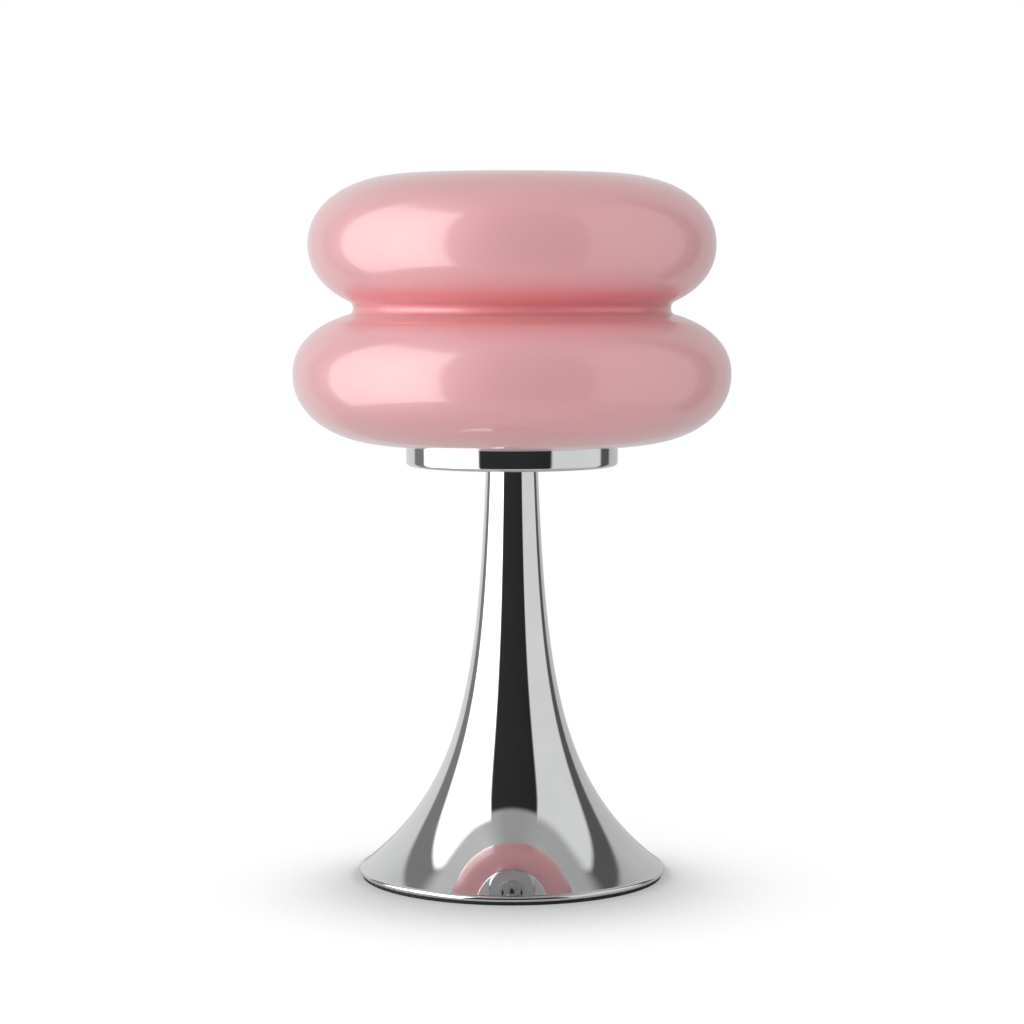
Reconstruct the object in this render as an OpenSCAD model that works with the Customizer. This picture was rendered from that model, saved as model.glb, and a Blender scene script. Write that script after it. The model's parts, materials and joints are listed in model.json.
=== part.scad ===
// Cordless table lamp: a blown opal glass shade of two stacked rings on a chrome trumpet base.
// Millimetres, +Z up, origin on the table under the lamp's axis, rear charging port towards +Y.

/* [Glass shade] */
// Outer radius of the upper glass ring
upper_ring_r = 81.3; // [77:0.1:86]
// How far the upper ring bulges out from its flat top
upper_bulge = 42.5; // [38:0.1:46]
// Height of the upper ring above its widest line
upper_rise = 28; // [24:0.1:32]
// Height of the upper ring below its widest line, to where it would close
upper_drop = 27.5; // [26.5:0.1:29]
// Outer radius of the lower glass ring
lower_ring_r = 87.5; // [83:0.1:92]
// How far the lower ring bulges out from its flat underside
lower_bulge = 40.6; // [37:0.1:43]
// Height of the lower ring above its widest line, to where it would close
lower_rise = 25.8; // [25:0.1:27]
// Depth of the lower ring below its widest line
lower_drop = 28.1; // [26:0.1:32]
// Distance between the widest lines of the two rings
ring_pitch = 51.3; // [50:0.1:53]
// Fullness of both ring curves, where 2 is an ellipse
ring_fullness = 2.15; // [2:0.01:2.4]
// Outer radius of the waist between the rings
waist_r = 63.4; // [60:0.1:66]
// Depth over which the waist is rounded
waist_round = 1.5; // [1:0.1:2.5]
// Thickness of the glass
glass_wall = 2.6; // [2:0.1:3.2]
// Depth of the shallow dish in the closed top
top_dip = 1.2; // [0.5:0.1:3]
// Radial gap between the neck's ring and the collar
neck_gap = 0.55; // [0.3:0.05:0.8]
// How far the neck reaches down into the collar
neck_drop = 2.35; // [2:0.05:2.5]
// Thickness of the steel ring bonded to the neck
neck_ring_t = 1; // [0.6:0.1:1.2]
// Radial width of the wall of that ring
neck_ring_wall = 0.45; // [0.3:0.05:0.6]

/* [Collar and lamp head] */
// Outer radius of the chrome collar
collar_r = 42.4; // [42.2:0.1:46]
// Wall of the collar
collar_wall = 1.5; // [1:0.1:1.6]
// Floor of the collar
collar_floor = 2; // [1.8:0.1:3]
// Rounding of the collar's lower edge
collar_round = 1.6; // [0.8:0.1:2.2]
// Gap between the lift-off shade and what it stands over
shade_gap = 0.3; // [0.2:0.05:0.6]
// Thickness of the silicone gasket under the shade
gasket_t = 0.8; // [0.5:0.1:1.2]
// Height of the ring that carries the magnets
carrier_h = 2.2; // [2.1:0.1:2.6]
// Width of the ring that carries the magnets
carrier_w = 3.7; // [3.5:0.1:3.7]
// Diameter of each holding magnet
magnet_d = 3; // [2:0.1:3.2]
// Thickness of each holding magnet
magnet_t = 2; // [1:0.1:2]
// Number of holding magnets
magnet_count = 6; // [3:1:8]
// Radial gap between the magnet carrier and the heat sink's flange
sink_gap = 1.6; // [0.3:0.1:2]
// Thickness of the heat sink's walls
sink_wall = 2; // [1.6:0.1:2.6]
// Width of the heat sink's foot flange, beyond its upright wall
sink_flange_w = 4.4; // [4.2:0.1:6]
// Thickness of that flange
sink_flange_t = 1.2; // [1:0.1:2]
// Thickness of the LED board
led_board_t = 1.6; // [1:0.1:2]
// Radial gap between the LED board and the diffuser dome
led_board_gap = 1.5; // [0.5:0.1:3]
// Number of LED chips
led_count = 12; // [6:1:18]
// Radius of the circle of LED chips
led_circle_r = 20; // [17:0.1:22]
// Length, width and height of one LED chip
led_size = [3.5, 2.8, 0.7];
// Height of the diffuser dome over the heat sink
dome_h = 26; // [20:0.5:32]
// Wall of the diffuser dome
dome_wall = 1.6; // [1.2:0.1:2]

/* [Trumpet base] */
// Height of the table to the top of the stem
stem_top_z = 165.7; // [150:0.1:190]
// Radius at the top of the stem
stem_r = 10.4; // [9.8:0.1:12]
// Extra radius that the stem gains evenly on its way down
stem_taper = 3.3; // [2.5:0.1:5]
// Radius of the flare at the foot
foot_r = 60.6; // [59:0.1:66]
// How sharply the flare opens, larger is sharper
flare_ratio = 4.3; // [4:0.01:4.4]
// Thickness of the spun shell
shell_wall = 1.5; // [1:0.1:1.6]
// Height of the rolled bead round the foot
bead_h = 2.4; // [1.6:0.1:3]

/* [Foot and weight] */
// Thickness of the foot pad
pad_h = 1.4; // [1:0.1:2]
// Inner radius of the ring-shaped foot pad
pad_inner_r = 44; // [42:0.1:50]
// Thickness of the cast weight that closes the foot
weight_h = 5; // [4:0.1:5.4]
// Gap between the weight and the shell
weight_gap = 0.2; // [0.1:0.05:0.5]

/* [Tie rod and clamp] */
// Radius of the hollow tie rod
rod_r = 4.9; // [4.5:0.05:5.2]
// Radius of the bore through the rod
rod_bore_r = 3.2; // [2.6:0.1:3.4]
// Gap round the rod in the parts that it passes
rod_gap = 0.1; // [0.05:0.05:0.3]
// Distance across the flats of the rod's nuts
nut_af = 14; // [13:0.5:15]
// Thickness of the rod's nuts
nut_h = 3; // [2.5:0.1:3.2]
// Radius of the washer under the top nut
washer_r = 8.5; // [8.2:0.1:10]
// Thickness of the washer
washer_t = 1.2; // [0.8:0.1:1.4]
// Thickness of the clamp plate inside the flare
clamp_t = 4; // [3:0.1:4.5]
// Gap between the cells and the clamp plate
clamp_gap = 2; // [1.8:0.1:2.6]
// Half spacing of the four pillars along X
pillar_x = 15.5; // [14.5:0.1:16]
// Radius of each pillar
pillar_r = 2.75; // [2.4:0.05:2.9]

/* [Fasteners] */
// Shank radius of the foot screws and of the pillars' studs
screw_r = 1.5; // [1.3:0.05:1.6]
// Length of the foot screws
screw_length = 10; // [8:0.5:14]
// Shank radius of the small screws on boards and head
small_screw_r = 1.1; // [0.9:0.05:1.2]
// Head radius of the small screws
small_head_r = 1.9; // [1.6:0.1:2]
// Head height of the small screws
small_head_h = 1.2; // [0.8:0.1:1.3]
// Radial gap round a screw in its hole
screw_gap = 0.1; // [0.05:0.05:0.2]

/* [Battery and charging] */
// Diameter of one battery cell
cell_d = 18.3; // [17:0.1:18.6]
// Length of one battery cell
cell_length = 65; // [60:0.5:66]
// Gap between the two cells
cell_space = 1.1; // [0.6:0.1:1.4]
// Thickness of the battery tray's floor
tray_floor = 1.6; // [1.2:0.1:2]
// Thickness of the battery tray's walls
tray_wall = 1.5; // [1.2:0.1:1.6]
// Height of the tray's walls above its floor
tray_wall_h = 7; // [5.5:0.1:8]
// Thickness of the circuit boards
board_t = 1.2; // [1:0.1:1.6]
// Height of the charging port's centre above the table
port_z = 12.2; // [12:0.1:13]
// Width of the recess in the port's bezel
port_w = 12.8; // [12.5:0.1:13.5]
// Height of the recess in the port's bezel
port_h = 6.8; // [6.6:0.1:7]
// Wall of the port's bezel
bezel_wall = 1.4; // [1:0.1:1.5]
// Distance from the lamp's axis to the floor of the port
port_floor_y = 43; // [42:0.1:44]
// Width of the charging socket's shell
socket_w = 8.94; // [8.9:0.01:9]
// Height of the charging socket's shell
socket_h = 3.26; // [3.2:0.01:3.3]
// Depth of the charging socket
socket_depth = 7.3; // [6.5:0.1:8]

/* [Power button] */
// Radius of the button
button_r = 6; // [5:0.1:6.4]
// Running gap round the button in its bush
button_gap = 0.08; // [0.05:0.01:0.1]
// Travel of the button
button_travel = 1; // [0.6:0.1:1.2]
// Height of the button's face above the table
button_clear = 0.6; // [0.3:0.1:0.9]
// Wall of the button's bush
bush_wall = 2; // [1.4:0.1:2.2]
// Thickness of the bush's inner flange
bush_flange_t = 1.2; // [0.8:0.1:1.4]
// Thickness of the button's inner rim
button_rim_t = 0.8; // [0.6:0.1:1]
// Wire diameter of the button's spring
spring_wire = 0.6; // [0.4:0.05:0.8]
// Number of turns of the button's spring
spring_turns = 4; // [3:1:6]
// Side of the square tactile switch
switch_side = 6; // [5:0.1:6.2]
// Height of the tactile switch without its plunger
switch_h = 3; // [2.5:0.1:3.5]
// Length of the switch's plunger
plunger_h = 1.4; // [1:0.1:1.6]

/* [Hidden] */

// Fineness of round parts, and of the curves that are worked out point by point
$fn = 96;
ring_steps = 26;
flare_steps = 36;
arc_steps = 6;
slack = 0.5;

chrome = "#c9cdd2";
opal_pink = "#e7adb4";
steel = "#9a9ea3";
black = "#1d1d1f";
circuit_green = "#1f5c3a";
white = "#f2f2ee";
brass = "#c9a44c";
silicone = "#d9d6d2";
lead_red = "#b8312f";

// Small fixed lengths
cell_bed = 0.4;
boss_h = 2.5;
boss_wall = 1.3;
hub_h = 6;
hub_wall = 3;
rod_end = 0.7;
sink_clear = 1.9;
dome_inset = 0.4;
dome_base_h = 3;
carrier_gap = 0.2;
magnet_fit = 0.1;
collar_rim = 0.3;
lead_hole_r = 2.6;
notch_edge = 1.5;
pillar_edge = 0.8;
board_edge_gap = 2.4;
led_screw_circle_r = 12;
sink_screw_count = 3;
tab_t = 0.4;
tray_gap = 0.3;
ear_r = 4;
ear_overlap = 1;
ear_y = 10;
tray_boss_r = 2.4;
rib_x = 20;
rib_w = 3;
rib_h = 3;
tongue_x = 11;
screw_inset = 3;
screw_bite = 3;
shallow_bite = 2;
nub_r = 3;
nub_h = 0.8;
cell_edge = 0.8;
contact_lift = 0.5;
contact_split = 0.6;
bush_flange_w = 1.6;
bush_fit = 0.05;
rim_w = 0.9;
rim_gap = 0.1;
button_edge = 0.4;
button_post_r = 1.5;
button_post_h = 1.2;
post_gap = 0.05;
plunger_r = 1.7;
spring_gap = 0.4;
switch_board_w = 22;
switch_board_reach = 10;
switch_screw_x = 8.5;
charge_board_w = 20;
charge_board_l = 16;
charge_board_gap = 0.5;
charge_screw_x = 7.5;
plate_fit = 0.05;
port_fit = 0.05;
socket_fit = 0.1;
socket_shell = 0.3;
socket_back = 1.6;
socket_tongue_w = 6.6;
socket_tongue_l = 5;
socket_tongue_t = 0.7;
drive_w = 0.5;
chip_l = 5;
chip_w = 4;
chip_h = 1.2;
inductor_w = 5;
inductor_h = 3;
capacitor_r = 2;
capacitor_h = 4.5;
lead_d = 1.8;
lead_gap = 0.7;
lead_sides = 8;
lead_inset = 4.5;
lead_land = 2.6;
lead_rise = 2.6;
lead_turn = 4;
led_lead_x = 13;
led_land_r = 6;
battery_lead_shift = 1.6;

// Heights, from the table up
foot_z = pad_h + bead_h;
weight_top_z = pad_h + weight_h;
tray_top_z = weight_top_z + tray_floor;
cell_z = tray_top_z + cell_bed + cell_d / 2;
clamp_z = cell_z + cell_d / 2 + clamp_gap;
clamp_top_z = clamp_z + clamp_t;
driver_z = clamp_top_z + boss_h;
driver_top_z = driver_z + board_t;
lock_nut_z = clamp_top_z + hub_h;
collar_z = stem_top_z;
floor_z = collar_z + collar_floor;
carrier_top_z = floor_z + carrier_h;
gasket_top_z = carrier_top_z + gasket_t;
neck_ring_z = gasket_top_z + shade_gap;
neck_z = neck_ring_z + neck_ring_t;
shade_z = neck_z + neck_drop;
collar_top_z = shade_z - shade_gap;
lower_z = shade_z + lower_drop;
upper_z = lower_z + ring_pitch;
shade_top_z = upper_z + upper_rise;
nut_z = floor_z + washer_t;
rod_top_z = nut_z + nut_h + rod_end;
sink_ceiling_z = rod_top_z + sink_clear;
sink_top_z = sink_ceiling_z + sink_wall;
led_top_z = sink_top_z + led_board_t;

// Radii and places
bead_r = bead_h / 2;
rod_hole_r = rod_r + rod_gap;
collar_inner_r = collar_r - collar_wall;
neck_outer_r = collar_inner_r - neck_gap - neck_ring_wall;
neck_r = neck_outer_r - glass_wall;
carrier_outer_r = collar_inner_r - carrier_gap;
carrier_inner_r = carrier_outer_r - carrier_w;
magnet_circle_r = (carrier_outer_r + carrier_inner_r) / 2;
sink_flange_r = carrier_inner_r - sink_gap;
sink_r = sink_flange_r - sink_flange_w;
sink_screw_circle_r = (sink_r + sink_flange_r) / 2;
dome_r = sink_r - dome_inset;
led_board_r = dome_r - dome_wall - led_board_gap;
hub_r = rod_r + hub_wall;
cell_y = (cell_d + cell_space) / 2;
tray_x = cell_length / 2 + tab_t;
tray_y = cell_y + cell_d / 2 + tray_gap;
tray_wall_top_z = tray_top_z + tray_wall_h;
ear_x = tray_x + tray_wall + ear_r - ear_overlap;
small_bore_r = small_screw_r + screw_gap / 2;
small_hole_r = small_screw_r + screw_gap;
button_bore_r = button_r + button_gap;
bush_r = button_bore_r + bush_wall;
bush_flange_r = bush_r + bush_flange_w;
bush_top_z = weight_top_z + bush_flange_t;
button_rim_z = bush_top_z + rim_gap;
button_rim_top_z = button_rim_z + button_rim_t;
plunger_z = button_rim_top_z + button_post_h + button_travel + post_gap;
switch_z = plunger_z + plunger_h;
switch_board_z = switch_z + switch_h;
spring_r = switch_side * sqrt(2) / 2 + spring_wire / 2 + spring_gap;
charge_board_z = port_z - socket_h / 2 - board_t;
charge_board_y = port_floor_y - charge_board_l - charge_board_gap;
charge_screw_y = charge_board_y + screw_inset;
notch_r = lead_d / 2 + battery_lead_shift + lead_gap;

// Point on a superellipse quadrant pair: angle 90 is the top, 0 the widest line, -90 the underside
function full_curve(v) = sign(v) * pow(abs(v), 2 / ring_fullness);
function ring_point(r, bulge, z, rise, drop, angle) = [
    r - bulge + bulge * full_curve(cos(angle)),
    z + (angle > 0 ? rise : drop) * full_curve(sin(angle))
];
// Angle at which a ring has narrowed to a given radius
function ring_angle(r, bulge, at_r) = acos(pow((at_r - r + bulge) / bulge, ring_fullness / 2));
function spread(from, to, steps) = [for (i = [0:steps]) from + (to - from) * i / steps];
function unit(v) = v / norm(v);
function bezier(a, b, c, d, t) =
    pow(1 - t, 3) * a + 3 * t * pow(1 - t, 2) * b + 3 * t * t * (1 - t) * c + pow(t, 3) * d;
function arc_points(centre, r, from, to, steps) =
    [for (a = spread(from, to, steps)) centre + r * [cos(a), sin(a)]];

// Outer outline of the glass, from the axis at the top down to the underside
join_r = waist_r + waist_round;
upper_join = ring_angle(upper_ring_r, upper_bulge, join_r);
lower_join = ring_angle(lower_ring_r, lower_bulge, join_r);
upper_flat_r = upper_ring_r - upper_bulge;
lower_flat_r = lower_ring_r - lower_bulge;
dish_points = [
    for (i = [0:arc_steps - 1])
        let (x = i / arc_steps)
        [upper_flat_r * x, shade_top_z - top_dip * (1 + cos(180 * x)) / 2]
];
upper_points = [
    for (a = spread(90, -upper_join, ring_steps))
        ring_point(upper_ring_r, upper_bulge, upper_z, upper_rise, upper_drop, a)
];
lower_points = [
    for (a = spread(lower_join, -90, ring_steps))
        ring_point(lower_ring_r, lower_bulge, lower_z, lower_rise, lower_drop, a)
];
waist_from = upper_points[ring_steps];
waist_to = lower_points[0];
waist_in = unit(waist_from - upper_points[ring_steps - 1]);
waist_out = unit(waist_to - lower_points[1]);
waist_reach = (waist_r - join_r) * 8 / (3 * (waist_in[0] + waist_out[0]));
waist_points = [
    for (i = [1:2 * arc_steps - 1])
        bezier(waist_from, waist_from + waist_in * waist_reach, waist_to + waist_out * waist_reach,
               waist_to, i / (2 * arc_steps))
];
glass_outer = concat(dish_points, upper_points, waist_points, lower_points);

// Inner outline: every point moved inwards, square to the outline, by the wall
function outline_normal(points, i) =
    let (
        a = points[max(i - 1, 0)],
        b = points[min(i + 1, len(points) - 1)],
        along = unit(b - a)
    )
    [along[1], -along[0]];
glass_inner = [
    for (i = [1:len(glass_outer) - 1]) glass_outer[i] + outline_normal(glass_outer, i) * glass_wall
];

// Radius of the flare's outside at a height, its slope there, and the radius of its inside
function flare_share(z) = (z - foot_z) / (stem_top_z - foot_z);
function flare_r(z) =
    stem_r + stem_taper * (1 - flare_share(z))
    + (foot_r - stem_r - stem_taper) * (exp(-flare_ratio * flare_share(z)) - exp(-flare_ratio))
        / (1 - exp(-flare_ratio));
function flare_slope(z) =
    -(stem_taper + (foot_r - stem_r - stem_taper) * flare_ratio * exp(-flare_ratio * flare_share(z))
        / (1 - exp(-flare_ratio))) / (stem_top_z - foot_z);
function cavity_r(z) =
    let (h = max(z, foot_z))
    flare_r(h) - shell_wall * sqrt(1 + pow(flare_slope(h), 2));

// Places that follow the inside of the flare
clamp_top_r = cavity_r(clamp_top_z) - plate_fit;
climb_r = clamp_top_r - notch_edge - notch_r;
driver_r = climb_r - lead_turn;
driver_screw_circle_r = driver_r - screw_inset;
parts_r = (hub_r + driver_r) / 2;
pillar_circle_r = clamp_top_r - screw_r - pillar_edge;
pillar_y = sqrt(pow(pillar_circle_r, 2) - pow(pillar_x, 2));
switch_corner_r = cavity_r(switch_board_z + board_t) - board_edge_gap;
switch_board_y = -sqrt(pow(switch_corner_r, 2) - pow(switch_board_w / 2, 2));
button_y = -switch_board_y - switch_board_reach;
switch_screw_y = switch_board_y + screw_inset;

flare_heights = [for (i = [0:flare_steps]) foot_z + (stem_top_z - foot_z) * pow(i / flare_steps, 1.5)];
flare_outer = [for (z = flare_heights) [flare_r(z), z]];
cavity_top_z = stem_top_z - shell_wall;
flare_inner = [for (i = [flare_steps:-1:0]) if (flare_heights[i] < cavity_top_z)
    [cavity_r(flare_heights[i]), flare_heights[i]]];

// Slot outline with round ends, for the charging port
function slot_points(w, h) = concat(
    arc_points([(w - h) / 2, 0], h / 2, -90, 90, arc_steps),
    arc_points([(h - w) / 2, 0], h / 2, 90, 270, arc_steps)
);

// Routes of the leads. Three of them climb through a hole in the clamp plate, over the driver board's
// edge and down onto it, and these are the radii and heights of that climb
climb = [
    [climb_r, clamp_z], [climb_r, clamp_top_z], [climb_r - lead_turn / 4, driver_top_z],
    [driver_r + lead_turn / 4, driver_top_z + lead_rise],
    [driver_r - lead_land * 0.6, driver_top_z + lead_rise],
    [driver_r - lead_land, driver_top_z + lead_rise / 2], [driver_r - lead_land, driver_top_z]
];
function climb_route(way, shift = 0) =
    [for (p = climb) [way[0] * p[0] - way[1] * shift, way[1] * p[0] + way[0] * shift, p[1]]];
led_route = [
    [led_lead_x, 0, driver_z], [led_lead_x, 0, clamp_z + lead_d / 2],
    [led_lead_x - lead_d / 2, 0, clamp_z - clamp_gap / 2], [rod_bore_r, 0, clamp_z - clamp_gap / 2],
    [0, 0, clamp_z + lead_d], [0, 0, (clamp_z + rod_top_z) / 2], [0, 0, rod_top_z], [0, 0, led_top_z],
    [lead_d, 0, led_top_z + lead_d], [led_land_r - lead_d / 2, 0, led_top_z + lead_d],
    [led_land_r, 0, led_top_z + lead_d / 2], [led_land_r, 0, led_top_z]
];
function battery_route(shift) = concat(
    [[-tray_x, -shift, cell_z + lead_d], [-tray_x - lead_d * 0.7, -shift, cell_z + lead_d],
     [-tray_x - lead_d * 0.9, -shift, cell_z + 2.2 * lead_d],
     [-climb_r - lead_turn, -shift, clamp_z - lead_turn * 0.75]],
    climb_route([-1, 0], shift)
);
switch_lead_y = switch_board_y + lead_inset;
switch_route = concat(
    [[0, switch_lead_y, switch_board_z + board_t], [0, switch_lead_y, switch_board_z + board_t + lead_rise],
     [0, -climb_r - 1.5 * lead_turn, clamp_z - 1.25 * lead_turn]],
    climb_route([0, -1])
);
charge_lead_y = charge_board_y + lead_inset;
charge_route = concat(
    [[0, charge_lead_y, charge_board_z + board_t], [0, charge_lead_y, charge_board_z + board_t + lead_rise],
     [0, (charge_lead_y + climb_r) / 2, cell_z + lead_d]],
    climb_route([0, 1])
);

// Smooth run of points through a route, and the ring of points round each of them
lead_steps = 4;
function route_end(route, i) = route[max(0, min(len(route) - 1, i))];
function route_point(route, i, t) =
    let (a = route_end(route, i - 1), b = route[i], c = route[i + 1], d = route_end(route, i + 2))
    bezier(b, b + (c - a) / 9, c - (d - b) / 9, c, t);
function route_run(route) = concat(
    [for (i = [0:len(route) - 2], k = [0:lead_steps - 1]) route_point(route, i, k / lead_steps)],
    [route[len(route) - 1]]
);
function run_direction(run, i) = unit(run[min(i + 1, len(run) - 1)] - run[max(i - 1, 0)]);

module lead(route, side, d) {
    run = route_run(route);
    rings = len(run);
    points = [
        for (i = [0:rings - 1], k = [0:lead_sides - 1])
            let (across = cross(run_direction(run, i), side), a = 360 * k / lead_sides)
            run[i] + d / 2 * (cos(a) * side + sin(a) * across)
    ];
    sides = [
        for (i = [0:rings - 2], k = [0:lead_sides - 1])
            let (a = i * lead_sides + k, b = i * lead_sides + (k + 1) % lead_sides)
            [[a, b, b + lead_sides], [a, b + lead_sides, a + lead_sides]]
    ];
    caps = [
        [for (k = [lead_sides - 1:-1:0]) k],
        [for (k = [0:lead_sides - 1]) (rings - 1) * lead_sides + k]
    ];
    polyhedron(points, concat([for (pair = sides, face = pair) face], caps));
}

module at_circle(r, count, turn = 0) {
    for (i = [0:count - 1])
        rotate(turn + 360 * i / count)
            translate([r, 0, 0])
                children();
}

module at_corners(x, y) {
    for (sx = [-1, 1], sy = [-1, 1])
        translate([sx * x, sy * y, 0])
            children();
}

module tube(outer_r, inner_r, z, top) {
    translate([0, 0, z])
        difference() {
            cylinder(r = outer_r, h = top - z);
            translate([0, 0, -slack])
                cylinder(r = inner_r, h = top - z + 2 * slack);
        }
}

module small_screw(length) {
    difference() {
        union() {
            cylinder(r = small_head_r, h = small_head_h);
            translate([0, 0, -length])
                cylinder(r = small_screw_r, h = length + slack);
        }
        for (a = [0, 90])
            rotate(a)
                translate([-small_head_r * 0.6, -drive_w / 2, small_head_h / 2])
                    cube([small_head_r * 1.2, drive_w, small_head_h]);
    }
}

module hex_nut(z) {
    difference() {
        translate([0, 0, z])
            cylinder(r = nut_af / sqrt(3), h = nut_h, $fn = 6);
        translate([0, 0, z - slack])
            cylinder(r = rod_hole_r, h = nut_h + 2 * slack);
    }
}

module glass_shade() {
    color(opal_pink)
        rotate_extrude()
            polygon(concat(
                glass_outer,
                [[neck_outer_r, shade_z], [neck_outer_r, neck_z], [neck_r, neck_z],
                 [neck_r, shade_z + glass_wall]],
                [for (i = [len(glass_inner) - 1:-1:0]) glass_inner[i]],
                [[0, shade_top_z - top_dip - glass_wall]]
            ));
}

module shade_neck_ring() {
    color(steel)
        rotate_extrude()
            polygon([
                [neck_r, neck_ring_z], [neck_outer_r + neck_ring_wall, neck_ring_z],
                [neck_outer_r + neck_ring_wall, neck_z + neck_drop * 0.7],
                [neck_outer_r, neck_z + neck_drop * 0.7], [neck_outer_r, neck_z], [neck_r, neck_z]
            ]);
}

module shade_gasket() {
    color(silicone)
        tube(carrier_outer_r - carrier_gap, carrier_inner_r + carrier_gap, carrier_top_z, gasket_top_z);
}

module magnet_carrier() {
    color(black)
        difference() {
            tube(carrier_outer_r, carrier_inner_r, floor_z, carrier_top_z);
            at_circle(magnet_circle_r, magnet_count)
                translate([0, 0, carrier_top_z - magnet_t])
                    cylinder(d = magnet_d + magnet_fit, h = magnet_t + slack);
        }
}

module shade_magnets() {
    color(steel)
        at_circle(magnet_circle_r, magnet_count)
            translate([0, 0, carrier_top_z - magnet_t])
                cylinder(d = magnet_d, h = magnet_t);
}

module collar() {
    color(chrome)
        difference() {
            rotate_extrude()
                polygon(concat(
                    [[rod_hole_r, collar_z]],
                    arc_points([collar_r - collar_round, collar_z + collar_round], collar_round,
                               -90, 0, arc_steps),
                    [[collar_r, collar_top_z - collar_rim], [collar_r - collar_rim, collar_top_z],
                     [collar_inner_r, collar_top_z], [collar_inner_r, floor_z], [rod_hole_r, floor_z]]
                ));
            at_circle(sink_screw_circle_r, sink_screw_count)
                translate([0, 0, floor_z - collar_floor * 0.7])
                    cylinder(r = small_bore_r, h = collar_floor);
        }
}

module heat_sink() {
    color(steel)
        difference() {
            union() {
                tube(sink_flange_r, sink_r - sink_wall, floor_z, floor_z + sink_flange_t);
                tube(sink_r, sink_r - sink_wall, floor_z, sink_top_z);
                tube(sink_r, lead_hole_r, sink_ceiling_z, sink_top_z);
            }
            at_circle(sink_screw_circle_r, sink_screw_count)
                translate([0, 0, floor_z - slack])
                    cylinder(r = small_hole_r, h = sink_flange_t + 2 * slack);
            at_circle(led_screw_circle_r, 2)
                translate([0, 0, sink_ceiling_z - slack])
                    cylinder(r = small_bore_r, h = sink_wall + 2 * slack);
        }
}

module heat_sink_screws() {
    color(steel)
        at_circle(sink_screw_circle_r, sink_screw_count)
            translate([0, 0, floor_z + sink_flange_t])
                small_screw(sink_flange_t + collar_floor * 0.6);
}

module led_board() {
    color(white)
        difference() {
            tube(led_board_r, lead_hole_r, sink_top_z, led_top_z);
            at_circle(led_screw_circle_r, 2)
                translate([0, 0, sink_top_z - slack])
                    cylinder(r = small_hole_r, h = led_board_t + 2 * slack);
        }
}

module led_board_screws() {
    color(steel)
        at_circle(led_screw_circle_r, 2)
            translate([0, 0, led_top_z])
                small_screw(led_board_t + sink_wall);
}

module led_chips() {
    color("#f3e29a")
        at_circle(led_circle_r, led_count, 180 / led_count)
            translate([-led_size[0] / 2, -led_size[1] / 2, led_top_z])
                cube(led_size);
}

module diffuser_dome() {
    dome_z = sink_top_z + dome_base_h;
    color(white)
        rotate_extrude()
            polygon(concat(
                [[dome_r - dome_wall, sink_top_z], [dome_r, sink_top_z]],
                [for (a = spread(0, 90, ring_steps))
                    [dome_r * cos(a), dome_z + (dome_h - dome_base_h) * sin(a)]],
                [for (a = spread(90, 0, ring_steps))
                    [(dome_r - dome_wall) * cos(a), dome_z + (dome_h - dome_base_h - dome_wall) * sin(a)]]
            ));
}

module top_washer() {
    color(steel)
        tube(washer_r, rod_hole_r, floor_z, nut_z);
}

module top_nut() {
    color(brass)
        hex_nut(nut_z);
}

module tie_rod() {
    color(steel)
        tube(rod_r, rod_bore_r, clamp_z, rod_top_z);
}

module port_cut(grow) {
    translate([0, port_floor_y - bezel_wall, port_z])
        rotate([90, 0, 180])
            linear_extrude(foot_r)
                polygon(slot_points(port_w + 2 * bezel_wall + grow, port_h + 2 * bezel_wall + grow));
}

module trumpet_base() {
    color(chrome)
        difference() {
            rotate_extrude()
                polygon(concat(
                    arc_points([foot_r, pad_h + bead_r], bead_r, -90, 90, 2 * arc_steps),
                    [for (i = [1:flare_steps]) flare_outer[i]],
                    [[rod_hole_r, stem_top_z], [rod_hole_r, cavity_top_z],
                     [cavity_r(cavity_top_z), cavity_top_z]],
                    flare_inner,
                    [[cavity_r(foot_z), pad_h]]
                ));
            port_cut(2 * port_fit);
        }
}

module clamp_plate() {
    color(steel)
        difference() {
            union() {
                translate([0, 0, clamp_z])
                    cylinder(
                        r1 = cavity_r(clamp_z) - plate_fit, r2 = clamp_top_r, h = clamp_t
                    );
                translate([0, 0, clamp_top_z - slack])
                    cylinder(r = hub_r, h = hub_h + slack);
                at_circle(driver_screw_circle_r, 3, 45)
                    translate([0, 0, clamp_top_z - slack])
                        cylinder(r = small_screw_r + boss_wall, h = boss_h + slack);
            }
            translate([0, 0, clamp_z - slack])
                cylinder(r = rod_hole_r, h = clamp_t + hub_h + 2 * slack);
            translate([led_lead_x, 0, clamp_z - slack])
                cylinder(d = lead_d + 2 * lead_gap, h = clamp_t + 2 * slack);
            for (turn = [90, 180, 270])
                rotate(turn)
                    translate([climb_r, 0, clamp_z - slack])
                        cylinder(r = notch_r, h = clamp_t + 2 * slack);
            at_corners(pillar_x, pillar_y)
                translate([0, 0, clamp_z - slack])
                    cylinder(r = screw_r + screw_gap, h = clamp_t + 2 * slack);
            at_circle(driver_screw_circle_r, 3, 45)
                translate([0, 0, clamp_top_z])
                    cylinder(r = small_bore_r, h = boss_h + slack);
        }
}

module lock_nut() {
    color(brass)
        hex_nut(lock_nut_z);
}

module driver_board() {
    color(circuit_green)
        difference() {
            tube(driver_r, hub_r + lead_gap, driver_z, driver_top_z);
            at_circle(driver_screw_circle_r, 3, 45)
                translate([0, 0, driver_z - slack])
                    cylinder(r = small_hole_r, h = board_t + 2 * slack);
        }
}

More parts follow.
